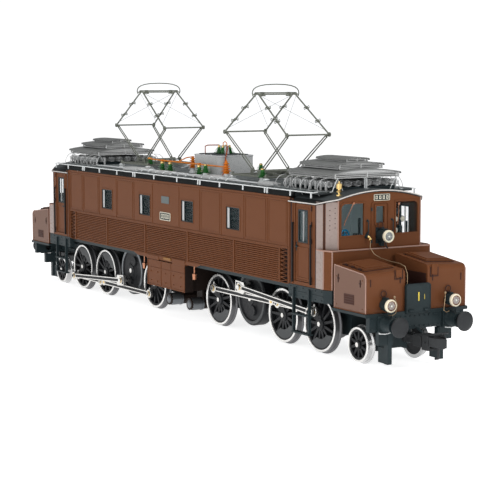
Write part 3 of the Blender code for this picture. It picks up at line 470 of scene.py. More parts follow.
panels = Shape()
for x0, x1 in ((59.2, 88.8), (127.2, 156.6), (160.6, 184.8)):
    panels.frame([(x0, 78.8), (x1, 78.8), (x1, 109.8), (x0, 109.8)],
                 [(x0 + 0.7, 79.5), (x1 - 0.7, 79.5), (x1 - 0.7, 109.1), (x0 + 0.7, 109.1)], "Y",
                 HALF - 0.1, HALF + 0.22)
panels.both_ends().both_sides().piece("side_panel_beads", plain_brown, "loco_body", "oxide_brown")

post = Shape()
post.box((188.6, HALF - 0.1, 51.8), (190.2, HALF + 0.7, 113.0)).box((193.4, HALF - 0.1, 51.8),
                                                                    (194.4, HALF + 0.4, 113.0))
post.frame([(196.0, 53.4), (217.5, 53.4), (217.5, 110.9), (196.0, 110.9)],
           [(197.0, 54.3), (216.5, 54.3), (216.5, 109.9), (197.0, 109.9)], "Y", HALF - 0.1, HALF + 0.5)
post.box((224.2, HALF - 0.1, 78.7), (233.4, HALF + 0.35, 79.3))
post.both_ends().both_sides().piece("door_posts", plain_brown, "loco_body", "oxide_brown", edge=0.2)

RUN, DROP = 12.8, 9.6                       # cab corner, along X and Y
rivets, corner_sheen, seam = Shape(), Shape(), Shape()
out = Vector((DROP, RUN, 0)).normalized()


def on_corner(share, z, lift=0.0):
    """A point on the slanted cab corner, share of the way round from the side to the front."""
    return Vector((224.0 + RUN * share, HALF - DROP * share, z)) + out * lift


for share in (0.62, 0.86):
    for z in (93.0, 96.0, 99.6, 103.2, 106.6):
        at = on_corner(share, z + (1.6 if share > 0.7 else 0.0))
        rivets.rod(at - out * 0.2, at + out * 0.35, 0.5, 0.35, sides=8)
for z in (84.0, 88.0, 92.0, 96.5, 101.0, 106.0, 110.0):
    at = on_corner(0.36, z)
    rivets.rod(at - out * 0.2, at + out * 0.5, 0.6, 0.5, sides=8)
rivets.both_sides().both_ends().piece("corner_rivets", dark_brown, "loco_body", "oxide_brown")
# Paler strips on the slanted cab corner and the lower nose side: a painted sheen, the light these plates
# reflect.
spots = [on_corner(0.0, 0, 0.25), on_corner(0.30, 0, 0.25), on_corner(0.30, 0, -0.1), on_corner(0.0, 0, -0.1)]
corner_sheen.bar([(spot.x, spot.y) for spot in spots], "Z", 79.2, 112.4)
spots = [on_corner(0.43, 0, 0.2), on_corner(0.97, 0, 0.2), on_corner(0.97, 0, -0.1), on_corner(0.43, 0, -0.1)]
corner_sheen.bar([(spot.x, spot.y) for spot in spots], "Z", 79.2, 112.4)
corner_sheen.bar([(223.9, HALF - 0.1), (224.1, HALF + 0.35), (232.4, HALF + 0.25), (232.6, HALF - 0.1)],
                 "Z", 51.8, 79.2)
sheen_brown = painted("painted_sheen_corner_brown", (0.30, 0.235, 0.210), 0.28, mottle=0.05)
corner_sheen.both_sides().both_ends().piece("painted_sheen_corner_plates", sheen_brown, "loco_body", "oxide_brown")
spots = [on_corner(0.33, 0, 0.12), on_corner(0.39, 0, 0.12), on_corner(0.39, 0, -0.1),
         on_corner(0.33, 0, -0.1)]
seam.bar([(spot.x, spot.y) for spot in spots], "Z", 79.3, 112.6)
seam.box((190.9, HALF - 0.1, 52.2), (192.4, HALF + 0.12, 112.6)).box((222.6, HALF - 0.1, 52.0),
                                                                     (223.5, HALF + 0.12, 112.6))
seam.both_ends().both_sides().piece("corner_seams", dark_brown, "loco_body", "oxide_brown")
hinges = Shape()
for z in (57.0, 84.0, 96.0, 107.0):
    hinges.rod((218.2, HALF + 0.3, z - 1.7), (218.2, HALF + 0.3, z + 1.7), 0.6, sides=8)
hinges.both_ends().both_sides().piece("door_hinges", dark_brown, "loco_body", "oxide_brown")

# The nose beads take the lighter brown: a painted highlight along the rolled edges.
nose = Shape()
nose_line = [(224.6, 45.0), (233.0, 45.0), (239.7, 42.0), (239.7, -42.0), (233.0, -45.0), (224.6, -45.0)]
nose.tube([(x, y, 78.9) for x, y in nose_line], 0.55)
nose.tube([(233.05, 44.9, 52.0), (233.05, 44.9, 78.9)],
          0.5).tube([(239.6, 42.0, 52.0), (239.6, 42.0, 78.9)], 0.5)
nose.tube([(233.05, -44.9, 52.0), (233.05, -44.9, 78.9)],
          0.5).tube([(239.6, -42.0, 52.0), (239.6, -42.0, 78.9)], 0.5)
nose.tube([(236.9, 35.4, 79.2), (236.9, 35.4, 114.6)],
          0.5).tube([(236.9, -35.4, 79.2), (236.9, -35.4, 114.6)], 0.5)
nose.both_ends().piece("nose_beading", painted_highlight_edge, "loco_body", "oxide_brown")


# ---- number plates --------------------------------------------------------------------
# Cast plates, black with a cream rim and a row of plain rounded outlines, on each side and
# above each cab door. A small blank grey plate sits above the side ones.
enamel = painted("cream_enamel", (0.72, 0.68, 0.55), 0.30, mottle=0.04)
slate = painted("slate_plate", (0.105, 0.125, 0.125), 0.42)


def rounded(x0, x1, z0, z1, radius, steps=4):
    """A rectangle with round corners, as outline points."""
    points = []
    for cx, cz, start in ((x1 - radius, z1 - radius, 0), (x0 + radius, z1 - radius, 90),
                          (x0 + radius, z0 + radius, 180), (x1 - radius, z0 + radius, 270)):
        for i in range(steps + 1):
            angle = math.radians(start + 90 * i / steps)
            points.append((cx + radius * math.cos(angle), cz + radius * math.sin(angle)))
    return points


side_plate = Shape().bar(rounded(-8.6, 8.6, 82.0, 88.0, 0.9), "Y", HALF - 0.1, HALF + 0.45).both_sides()
side_plate.piece("side_number_plates", black, "loco_body", "frame_black")
rims = Shape().frame(rounded(-8.9, 8.9, 81.7, 88.3, 1.1), rounded(-8.4, 8.4, 82.2, 87.8, 0.7), "Y",
                     HALF - 0.1, HALF + 0.6)
for x0, x1 in ((-6.4, -4.0), (-3.0, -0.4), (0.8, 3.2), (4.2, 6.6)):
    rims.frame(rounded(x0, x1, 83.2, 86.8, 0.5), rounded(x0 + 0.5, x1 - 0.5, 83.7, 86.3, 0.3), "Y", HALF,
               HALF + 0.55)
rims.both_sides()
rims.piece("side_plate_rims", enamel, "loco_body", "white_enamel")
makers = Shape().bar(rounded(-6.6, 6.6, 95.6, 101.4, 0.4), "Y", HALF - 0.1, HALF + 0.35).both_sides()
makers.piece("blank_maker_plates", slate, "loco_body", "cover_grey", edge=0.1)
for end_name, end in ENDS.items():
    at = half_turn(end)
    plate = Shape().bar([(y, z) for y, z in rounded(-4.6, 8.4, 112.6, 117.0, 0.7)], "X", 236.7, 237.15)
    plate.piece("cab_number_plate_" + end_name, black, "loco_body", "frame_black", at=at)
    rim = Shape().frame(rounded(-5.4, 8.2, 112.3, 116.9, 0.8), rounded(-5.05, 7.85, 112.65, 116.55, 0.5),
                        "X", 236.7, 237.4)
    for y in (-3.2, -0.1, 3.0, 6.1):
        rim.frame(rounded(y - 0.85, y + 0.85, 113.4, 115.8, 0.3),
                  rounded(y - 0.4, y + 0.4, 113.85, 115.35, 0.2), "X", 236.7, 237.3)
    rim.piece("cab_plate_rim_" + end_name, enamel, "loco_body", "white_enamel", at=at)

# ---- windows --------------------------------------------------------------------------
# Each machine room window has a thin dark frame, a pale reveal at one edge, tinted glazing and
# a rack of dark slats behind it. The windscreens have round-cornered frames and a wiper.
glass = Finish("tinted_glazing", 0.04, 0.0, Alpha=0.08, Specular_IOR_Level=0.4)
glass.feed("Base Color", glass.mixed(glass.noise(60.0), (0.030, 0.052, 0.055), (0.055, 0.085, 0.088)))
silver = painted("silver_paint", (0.50, 0.51, 0.51), 0.34, metallic=0.2, mottle=0.05)
# The cab green glows faintly though nothing lights it: painted light, on the cab lining and the window edges.
teal = painted("cab_green_glowing_paint", (0.36, 0.45, 0.46), 0.48, mottle=0.08, Emission_Strength=0.06)
teal.feed("Emission Color", (0.60, 0.80, 0.85))
window_rim, panes, slats, liner, reveal = Shape(), Shape(), Shape(), Shape(), Shape()
for x in (-109.0, -37.0, 37.0, 109.0):
    reveal.box((x - 9.9, HALF - 1.4, 83.5), (x - 5.6, HALF - 0.55, 100.1))
    window_rim.frame(rounded(x - 9.9, x + 9.9, 83.4, 100.2, 0.6), rounded(x - 9.2, x + 9.2, 84.1, 99.5, 0.4),
                     "Y", HALF - 1.3, HALF - 0.2)
    window_rim.box((x - 5.7, HALF - 1.3, 83.6), (x - 4.9, HALF - 0.4, 100.0))
    panes.box((x - 9.4, HALF - 1.05, 84.0), (x + 9.4, HALF - 0.85, 99.7))
    for i in range(7):
        z = 84.8 + 2.2 * i
        slats.bar([(HALF - 2.0, z), (HALF - 2.6, z + 1.0), (HALF - 2.9, z + 0.8), (HALF - 2.3, z - 0.2)],
                  "X", x - 9.6, x + 9.6)
    liner.box((x + 8.6, HALF - 1.4, 83.5), (x + 9.9, HALF - 0.5, 100.1))
for shape, name, finish, slot_name in (
    (window_rim, "side_window_frames", black, "frame_black"), (panes, "side_window_panes", glass,
                                                               "clear_glass"),
    (slats, "side_window_slats", black, "frame_black"), (liner, "side_window_edges", teal, "cab_green"),
    (reveal, "side_window_reveals", silver, "cover_grey"),
):
    shape.both_sides().piece(name, finish, "loco_body", slot_name)
surrounds, shade_sheets = Shape(), Shape()
for x in (-109.0, -37.0, 37.0, 109.0):
    surrounds.frame(rounded(x - 11.0, x + 11.0, 82.3, 101.3, 0.6),
                    rounded(x - 10.0, x + 10.0, 83.3, 100.3, 0.4),
                    "Y", HALF - 0.1, HALF + 0.3)
    # A black sheet a little behind each machine room window: painted shade, standing for the dark room
    # inside.
    shade_sheets.box((x - 10.6, HALF - 4.6, 82.4), (x + 10.6, HALF - 4.0, 101.4))
surrounds.both_sides().piece("side_window_surrounds", plain_brown, "loco_body", "oxide_brown", edge=0.1)
shade_sheets.both_sides().piece("machine_room_shade_screens", black, "loco_body", "frame_black")


def screen(y0, y1, z0, z1, round_side):
    """Windscreen outline: square below, with a big round corner at the top outside."""
    radius = 3.4
    spin = [math.radians(90 * i / 5) for i in range(6)]
    if round_side > 0:
        top = [(y1 - radius + radius * math.sin(a), z1 - radius + radius * math.cos(a)) for a in spin]
        return [(y0, z0), (y0, z1)] + top + [(y1, z0)]
    top = [(y0 + radius - radius * math.cos(a), z1 - radius + radius * math.sin(a)) for a in spin]
    return [(y0, z0)] + top + [(y1, z1), (y1, z0)]


front_trim, front_glass = Shape(), Shape()
for way in (1, -1):
    y0, y1 = sorted((way * 13.6, way * 33.0))
    outer, inner = screen(y0 - 0.9, y1 + 0.9, 87.8, 112.0, way), screen(y0 + 0.2, y1 - 0.2, 88.9, 110.9, way)
    front_trim.frame(outer, inner, "X", 236.5, 237.35)
    front_glass.bar(inner, "X", 235.6, 235.9)
front_trim.frame(rounded(-7.6, 7.6, 79.8, 111.6, 2.4), rounded(-6.7, 6.7, 80.6, 110.7, 1.8), "X", 236.7,
                 237.45)
front_trim.frame(rounded(-4.9, 4.9, 95.2, 109.8, 0.8), rounded(-3.6, 3.6, 96.6, 108.4, 0.5), "X", 236.6,
                 237.6)
front_glass.box((235.6, -3.5, 96.7), (235.9, 3.5, 108.3))
front_trim.both_ends().piece("cab_front_mouldings", plain_brown, "loco_body", "oxide_brown", edge=0.15)
front_glass.both_ends().piece("cab_front_panes", glass, "loco_body", "clear_glass")
grips = Shape()
for y in (-10.6, 10.6):
    grips.tube([(236.7, y, 98.6), (238.0, y, 98.6), (238.3, y, 97.6), (238.3, y, 91.0), (238.0, y, 90.0),
                (236.7, y, 90.0)], 0.45)
    for z in (90.0, 98.6):
        grips.rod((236.7, y, z), (237.3, y, z), 1.0, 0.7, sides=10)
for z in (84.0, 106.5):
    grips.rod((237.5, -7.4, z - 1.2), (237.5, -7.4, z + 1.2), 0.6, sides=8)
grips.rod((237.0, 5.8, 92.0), (238.3, 5.8, 92.0), 0.4).rod((238.2, 5.8, 92.0), (238.2, 4.0, 92.0), 0.4)
grips.both_ends().piece("cab_front_grips", black, "loco_body", "frame_black")
for end_name, end in ENDS.items():
    turn = half_turn(end)
    Shape().tube([(237.6, -23.2, 111.4), (238.1, -25.4, 107.6), (237.7, -30.2, 98.6)], 0.32).rod(
        (236.8, -23.2, 111.4), (238.2, -23.2, 111.4), 0.8).tube(
        [(237.5, -29.9, 99.8), (237.5, -30.8, 96.0)], 0.35).piece(
        "windscreen_wiper_right_" + end_name, copper, "loco_body", "copper_orange", at=turn)
    Shape().tube([(237.6, 15.6, 109.6), (238.1, 15.4, 104.0), (237.7, 14.8, 95.0)], 0.28).rod(
        (236.8, 15.6, 109.6), (238.2, 15.6, 109.6), 0.8).piece(
        "windscreen_wiper_left_" + end_name, copper, "loco_body", "copper_orange", at=turn)

# ---- cab fittings ---------------------------------------------------------------------
# Behind the windscreens: a grey-green bulkhead with a door, a desk, the driver's blue control
# wheel on its column, a brake stand with levers, and two round gauges.
blue = painted("blue_wheel_paint", (0.010, 0.24, 0.46), 0.35)
brass = Finish("brass", 0.26, 1.0)
brass.feed("Base Color", brass.mixed(brass.noise(400.0), (0.62, 0.42, 0.15), (0.86, 0.64, 0.28)))
brass.feed("Roughness", 0.20 + 0.14 * brass.noise(700.0))
for end_name, end in ENDS.items():
    turn = half_turn(end)
    # The lining uses the faintly glowing cab green: painted light.
    cab = Shape().box((188.0, -42.8, 51.6), (189.0, 42.8, 112.4)).box((226.0, -33.0, 80.2),
                                                                      (235.0, -13.5, 84.0))
    cab.box((226.0, 13.5, 80.2), (235.0, 33.0, 84.0)).box((189.0, -43.0, 51.6), (234.0, 43.0, 52.6))
    cab.frame([(-9, 54), (9, 54), (9, 104), (-9, 104)], [(-8, 55), (8, 55), (8, 103), (-8, 103)], "X",
              188.9, 189.7)
    cab.piece("cab_lining_" + end_name, teal, "loco_body", "cab_green", at=turn, edge=0.2)
    wheel = Shape().tube([(229.2, -24.6 + 3.4 * math.cos(math.tau * i / 20),
                           88.6 + 3.4 * math.sin(math.tau * i / 20))
                          for i in range(20)], 0.75, closed=True)
    for i in range(4):
        a = math.tau * i / 4
        wheel.rod((229.2, -24.6, 88.6), (229.2, -24.6 + 3.2 * math.cos(a), 88.6 + 3.2 * math.sin(a)), 0.5)
    wheel.rod((228.6, -24.6, 88.6), (229.8, -24.6, 88.6), 1.3)
    wheel.piece("control_wheel_" + end_name, blue, "loco_body", at=turn)
    stand = Shape().rod((227.4, -24.6, 52.6), (227.4, -24.6, 86.0), 2.2, 1.6).rod((225.0, -24.6, 88.6),
                                                                                  (229.0, -24.6, 88.6), 2.6)
    stand.box((226.0, -15.6, 84.0), (231.0, -11.4, 89.0)).box((229.0, -13.4, 89.0), (230.4, -11.8, 100.0))
    stand.rod((228.0, 24.0, 84.0), (228.0, 24.0, 93.0), 1.8).rod((228.0, 30.0, 84.0), (228.0, 30.0, 96.0),
                                                                 0.8)
    for y, z in ((18.0, 90.0), (24.0, 98.0), (18.0, 98.0), (20.0, 103.5)):
        stand.rod((229.0, y, z), (231.0, y, z), 2.2, sides=16)
    stand.box((199.0, -32.0, 52.6), (210.0, -20.0, 70.0)).box((197.5, -32.0, 70.0), (199.5, -20.0, 88.0))
    stand.piece("driver_stands_" + end_name, black, "loco_body", "frame_black", at=turn, edge=0.25)
    dials = Shape()
    for y, z in ((18.0, 90.0), (24.0, 98.0), (18.0, 98.0)):
        dials.turned([(0, 0), (0, 1.8), (0.3, 1.8), (0.3, 0)], (231.0, y, z), (1, 0, 0), sides=16)
    dials.piece("gauge_faces_" + end_name, enamel, "loco_body", "white_enamel", at=turn)

# ---- cab doors ------------------------------------------------------------------------
# Sheet doors with a pressed lower panel, a dark drop-light in two panes and a dark lever
# handle. Each swings into the cab on its forward edge.
LEAF = HALF - 0.2
for end_name, end in ENDS.items():
    for side_name, side in SIDES.items():
        body = f"cab_door_{end_name}_{side_name}"
        where = spread(end, side)
        dressed(body, plain_brown)
        leaf = Shape()
        for z0, z1 in ((56.4, 79.0),):
            leaf.frame(rounded(199.2, 214.2, z0, z1, 0.8), rounded(200.2, 213.2, z0 + 1, z1 - 1, 0.5),
                       "Y", LEAF - 0.1, LEAF + 0.35)
        leaf.frame(rounded(199.0, 214.4, 80.6, 107.2, 0.8), rounded(199.9, 213.5, 81.5, 106.3, 0.5), "Y",
                   LEAF - 0.1, LEAF + 0.3)
        leaf.box((197.6, LEAF - 0.1, 54.8), (216.0, LEAF + 0.3, 55.7))
        leaf.piece("door_mouldings_" + body[9:], plain_brown, body, "oxide_brown", at=where, edge=0.12)
        droplight = Shape().frame(rounded(200.5, 212.8, 82.1, 105.6, 0.5),
                                  rounded(201.7, 211.6, 83.3, 104.4, 0.4),
                                  "Y", LEAF - 1.0, LEAF + 0.15)
        droplight.piece("door_window_frame_" + body[9:], black, body, "frame_black", at=where)
        bars = Shape().box((206.7, LEAF - 0.9, 82.6), (207.2, LEAF + 0.1, 105.2))
        bars.piece("door_window_bars_" + body[9:], silver, body, "cover_grey", at=where)
        Shape().box((201.4, LEAF - 0.65, 83.0), (211.9, LEAF - 0.4, 104.7)).piece(
            "door_pane_" + body[9:], glass, body, "clear_glass", at=where)
        handle = Shape().box((198.2, LEAF, 76.0), (199.2, LEAF + 0.5, 82.4)).rod((198.7, LEAF, 79.2),
                    (198.7, LEAF + 1.4, 79.2), 0.5)
        handle.rod((198.7, LEAF + 1.2, 79.2), (201.6, LEAF + 1.2, 79.2), 0.45)
        handle.piece("door_handle_" + body[9:], black, body, "frame_black", at=where)

# ---- coolers --------------------------------------------------------------------------
# Along each flank hang oil coolers: seventeen rows of thin pipe, joined by hairpin bends at
# the ends and held by upright clips, all sprayed body brown. The clips are bright-edged.
for side_name, side in SIDES.items():
    pipes = Shape()
    rows = [51.7 + 1.5 * i for i in range(17)]
    for z in rows:
        pipes.tube([(-175.5, 43.9, z), (175.5, 43.9, z)], 0.66, sides=8)
    for z in (48.3, 49.7, 50.8):
        pipes.tube([(-34.6, 43.9, z), (34.6, 43.9, z)], 0.6, sides=8)
    for way in (1, -1):
        zigzag = []
        for i in range(len(rows) // 2):
            zigzag += [(way * 176.4, 44.1, rows[2 * i]), (way * 185.8, 44.2, rows[2 * i] + 1.5),
                       (way * 176.4, 44.1, rows[2 * i] + 3.0)]
        pipes.tube(zigzag, 0.62, sides=6)
    at = spread(1, side)
    pipes.piece("cooler_pipes_" + side_name, plain_brown, "loco_body", "oxide_brown", at=at,
                stands_for=["cooler_" + side_name])
    clips = Shape()
    for x in (-175.5, -110.0, -37.0, 37.0, 110.0, 175.5):
        clips.box((x - 0.8, 42.3, 51.1), (x + 0.8, 45.05, 76.4))
    clips.box((-187.4, 42.3, 75.9), (187.4, 45.0, 76.6)).box((-187.4, 42.4, 50.7), (-36.0, 44.6, 51.2))
    clips.box((36.0, 42.4, 50.7), (187.4, 44.6, 51.2))
    clips.box((186.6, 42.3, 51.0), (187.5, 45.0, 76.4)).box((-187.5, 42.3, 51.0), (-186.6, 45.0, 76.4))
    clips.piece("cooler_clips_" + side_name, plain_brown, "loco_body", "oxide_brown", at=at, edge=0.15)
    # A dark brown sheet behind the pipes: painted shade, where the wall behind them lies in shadow.
    back = Shape().box((-187.2, 41.9, 51.0), (187.2, 42.5, 76.3)).box((-34.6, 41.9, 47.6), (34.6, 42.9, 51.2))
    back.piece("cooler_backing_" + side_name, dark_brown, "loco_body", "oxide_brown", at=at)

# ---- roof ---------------------------------------------------------------------------
# A grey walkway on a charcoal roof. A bright gutter runs round each cab vault, and a white
# conduit on upright brackets runs along each eave.
slab = painted("roof_grey_paint_shaded_eaves", (0.050, 0.058, 0.060), 0.50, mottle=0.25)
# The roof's sides along the eaves are painted near-black: painted shade under the eave conduit.
shaded_eave_mask = slab.size(slab.axis("Y")) > 0.0409
slab.feed("Base Color", slab.mixed(shaded_eave_mask, slab.tone, (0.004, 0.005, 0.005)))
dressed("roof", slab)
white = painted("white_wire", (0.70, 0.72, 0.72), 0.34, metallic=0.1, mottle=0.05)
grey_white = painted("gutter_white", (0.60, 0.57, 0.54), 0.34, mottle=0.06)
ROOF_R, ROOF_TOP = 124.0, 120.2


def vault_z(y):
    return ROOF_TOP - ROOF_R + math.sqrt(ROOF_R**2 - y**2)


gutter = Shape()
edge_line = [(189.6, 46.3), (200.0, 46.3), (212.0, 46.3), (224.4, 46.3), (231.0, 41.4), (238.0, 36.1)]
edge_line += [(238.2, y) for y in (30, 24, 18, 12, 6, 0, -6, -12, -18, -24, -30)]
edge_line += [(x, -y) for x, y in reversed(edge_line[:6])]
gutter.tube([(x, y, vault_z(y) - 0.5) for x, y in edge_line], 0.42, sides=8)
gutter.both_ends().piece("cab_gutters", grey_white, "loco_body", "white_enamel")

conduit = Shape()
conduit.tube([(-219.0, 44.6, 118.2), (219.0, 44.6, 118.2)], 0.42, sides=8)
conduit.tube([(-219.0, 40.6, 118.6), (-219.0, 44.6, 118.2)],
             0.36).tube([(219.0, 40.6, 118.6), (219.0, 44.6, 118.2)], 0.36)
drops = [20.0, 54.8, 58.2, 89.0, 124.0, 155.3, 158.7, 190.0, 217.0]
for x in drops + [-x for x in drops]:
    conduit.box((x - 0.45, 44.5, 114.4), (x + 0.45, 45.3, 118.2))
conduit.both_sides().piece("edge_conduits", white, "loco_body", "white_enamel")

planks = Shape()
for i in range(-20, 21):
    planks.box((i * 10.7 - 0.25, -40.0, 118.2), (i * 10.7 + 0.25, 40.0, 118.75))
for y in (-33.0, -11.0, 11.0, 33.0):
    planks.box((-219.0, y - 0.4, 118.2), (219.0, y + 0.4, 118.7))
planks.piece("walkway_slats", painted("walkway_grey", (0.30, 0.32, 0.32), 0.5, mottle=0.35), "loco_body",
             "roof_grey")

lids = Shape()
for x0, x1, y0, y1, top in ((40.0, 66.0, -37.0, -24.0, 120.6), (-92.0, -66.0, -38.0, -26.0, 120.4),
                            (130.0, 148.0, -36.0, -26.0, 120.2), (44.0, 66.0, 12.0, 34.0, 121.6),
                            (-64.0, -44.0, 12.0, 34.0, 121.4), (-40.0, -8.0, -37.0, -27.0, 120.0)):
    lids.box((x0, y0, 118.2), (x1, y1, top)).box((x0 + 2, y0 + 2, top - 0.2), (x1 - 2, y1 - 2, top + 0.7))
cover = painted("cover_grey_paint", (0.20, 0.205, 0.20), 0.40, metallic=0.3, mottle=0.10)
pale = painted("louvre_grey_paint", (0.56, 0.565, 0.56), 0.40, metallic=0.15, mottle=0.06)
lids.piece("roof_hatches", pale, "loco_body", "cover_grey", edge=0.25)

for end_name, end in ENDS.items():
    whistle = Shape().turned([(0, 0), (0, 2.2), (0.9, 2.2), (1.1, 0.9), (2.4, 0.9), (2.6, 1.9), (3.4, 2.1),
                              (4.0, 1.1), (4.8, 1.1), (5.0, 2.0), (8.4, 2.0), (8.8, 1.5), (9.2, 0.6),
                              (10.2, 0.6), (10.4, 0)], (229.6, -29.8, 116.2), (0, 0, 1), sides=20)
    whistle.piece("whistle_" + end_name, brass, "loco_body", "brass", at=half_turn(end))

# ---- resistor covers -------------------------------------------------------------------
# Over each cab sit the starting resistors under three louvred lids of grey sheet, one above
# the other. Bent white wire legs and grey guard ribs carry them, with the coils showing beneath.
TIERS = ((161.0, 222.0, 29.0, 131.3, 133.9, 127.6), (164.0, 214.0, 20.0, 137.1, 138.5, 133.4),
         (171.0, 209.0, 10.5, 140.7, 141.6, 138.2))
for end_name, end in ENDS.items():
    at = half_turn(end)
    lid, walls, shade_blocks = Shape(), Shape(), Shape()
    for x0, x1, half, eave, peak, foot in TIERS:
        def crown(y):
            return eave + (peak - eave) * (1 - (y / half) ** 2)
        rows = [half * i / 5 for i in range(-5, 6)]
        skin = [(y, crown(y)) for y in rows]
        skin = [(-half - 0.5, eave - 1.5)] + skin + [(half + 0.5, eave - 1.5)]
        under = [(half, eave - 1.5)] + [(y, crown(y) - 0.7) for y in reversed(rows)] + [(-half, eave - 1.5)]
        lid.bar(skin + under, "X", x0, x1)
        count = 3 if half > 15 else 2
        for i in range(count):
            z0 = foot + (eave - foot) * i / count
            z1 = foot + (eave - foot) * (i + 0.62) / count
            lean = 0.7
            for way in (1, -1):
                y = way * (half - 1.6)
                walls.bar([(y, z1), (y + way * 0.4, z1), (y + way * (0.4 + lean), z0), (y + way * lean, z0)],
                          "X", x0 + 1.8, x1 - 1.8)
                x = x0 + 1.6 if way < 0 else x1 - 1.6
                walls.bar([(x, z1), (x + way * 0.4, z1), (x + way * (0.4 + lean), z0), (x + way * lean, z0)],
                          "Y", -half + 1.2, half - 1.2)
        for way in (1, -1):
            x = x0 + 1.6 if way < 0 else x1 - 1.6
            gable = [(y, crown(y) - 0.6) for y in (-half + 2, -half * 0.5, 0, half * 0.5, half - 2)]
            walls.bar([(-half + 2, eave - 0.3)] + gable + [(half - 2, eave - 0.3)], "X",
                      *sorted((x, x + way * 0.5)))
            for y in (-half + 1.2, -0.5, half - 2.0):
                walls.box((x, y, foot), (x + way * 1.3, y + 0.8, eave))
        # A dark block fills each tier: painted shade for the hollow inside, seen through the louvres.
        shade_blocks.box((x0 + 2.6, -half + 2.6, foot), (x1 - 2.6, half - 2.6, eave - 0.4))
    lid.piece("resistor_lids_" + end_name, cover, "loco_body", "cover_grey", at=at,
              stands_for=["resistor_cover_" + end_name])
    walls.piece("resistor_louvres_" + end_name, pale, "loco_body", "cover_grey", at=at)
    shade_blocks.piece("resistor_frames_" + end_name, slab, "loco_body", "roof_grey", at=at)
    legs, ribs = Shape(), Shape()
    for x in (163.4, 192.0, 220.6):
        for way in (1, -1):
            foot = max(118.4, vault_z(30.0) + 0.2) if x > 189 else 118.4
            legs.tube([(x, way * 25.4, 127.6), (x, way * 29.6, foot), (x, way * 31.4, foot)], 0.36)
            legs.tube([(x, way * 25.4, 127.6), (x, way * 21.5, 121.0), (x, way * 20.6, 119.0)], 0.32)
    legs.box((220.0, -2.0, 119.6), (220.8, -1.3, 127.8)).box((220.0, -0.4, 119.6), (220.8, 0.3, 127.8))
    legs.box((219.6, -2.0, 119.6), (224.0, 0.3, 120.2))
    for i in range(6):
        x = 158.0 + 11.0 * i
        foot = 118.6 if x < 189 else vault_z(36.5) + 0.3
        for way in (1, -1):
            bow = [(x, way * (34.0 + 2.6 * math.sin(math.pi * t) + 1.0 * (1 - t)), foot + (126.4 - foot) * t)
                   for t in (0, 0.15, 0.3, 0.5, 0.7, 0.85, 1.0)]
            ribs.tube([(x, way * 33.2, foot)] + bow + [(x, way * 32.0, 127.2), (x, way * 28.0, 127.6)],
                      0.25, sides=6)
    legs.piece("resistor_wire_legs_" + end_name, white, "loco_body", "white_enamel", at=at)
    ribs.piece("resistor_guard_ribs_" + end_name, pale, "loco_body", "cover_grey", at=at)
    panel = Shape().box((211.6, 4.0, 121.6), (212.2, 24.2, 125.8))
    for y in (-30.0, -22.0, 22.0, 30.0):
        for k in range(9):
            panel.box((160.0 + 6.6 * k, y - 0.5, 119.0), (161.4 + 6.6 * k, y + 0.5, 125.6 - abs(y) * 0.02))
    panel.piece("resistor_terminals_" + end_name, pale, "loco_body", "cover_grey", at=at)
    coils = Shape()
    for row in range(8):
        y = -29.0 + 8.3 * row
        turns = [(163.0 + 54.0 * k / 160, y + 2.0 * math.cos(k * 1.3),
                  123.4 + 2.2 * math.sin(k * 1.3)) for k in range(161)]
        coils.tube(turns, 0.30, sides=4)
    coils.piece("resistor_coils_" + end_name, silver, "loco_body", "motor_steel", at=at)
    tray = Shape().box((165.0, -26.0, 119.9), (218.0, 26.0, 120.5))
    for y in (-26.5, 25.7):
        tray.box((165.0, y, 119.9), (218.0, y + 0.8, 121.2))
    for x in (165.0, 182.0, 200.0, 217.0):
        tray.box((x, -26.0, 118.4), (x + 0.8, 26.0, 121.0))
    tray.piece("resistor_tray_" + end_name, black, "loco_body", "frame_black", at=at)

# ---- breaker tank and high-voltage line ----------------------------------------------------
# The oil breaker is a light grey cast tank with a bolted lid, green ribbed bushings and bent
# orange bus pipes. The bus runs along the near side on green insulators with white feet.
speckle = painted("speckled_grey", (0.50, 0.51, 0.51), 0.55, mottle=0.10)
speckle.feed("Base Color", speckle.mixed(speckle.noise(2200.0) > 0.60, speckle.tone, (0.30, 0.32, 0.33)))
dressed("breaker_tank", speckle)
orange = painted("orange_bus_paint", (0.66, 0.19, 0.015), 0.34, mottle=0.15)
rust = painted("red_brown_pipe", (0.30, 0.060, 0.020), 0.40, mottle=0.15)
green = painted("green_glaze", (0.030, 0.175, 0.035), 0.16, mottle=0.25, Coat_Weight=0.6)


def insulator(shape, x, y, foot, height, radius):
    """A stack of skirts on a spindle, standing on foot."""
    profile = [(0, 0), (0, radius * 0.8)]
    count = 4
    for i in range(count):
        level = height * (0.14 + 0.8 * i / count)
        shrink = radius * (1 - 0.13 * i)
        profile += [(level, shrink * 0.5), (level + height * 0.05, shrink), (level + height * 0.09, shrink),
                    (level + height * 0.12, shrink * 0.5)]
    profile += [(height, radius * 0.35), (height, 0)]
    shape.turned(profile, (x, y, foot), (0, 0, 1), sides=16)


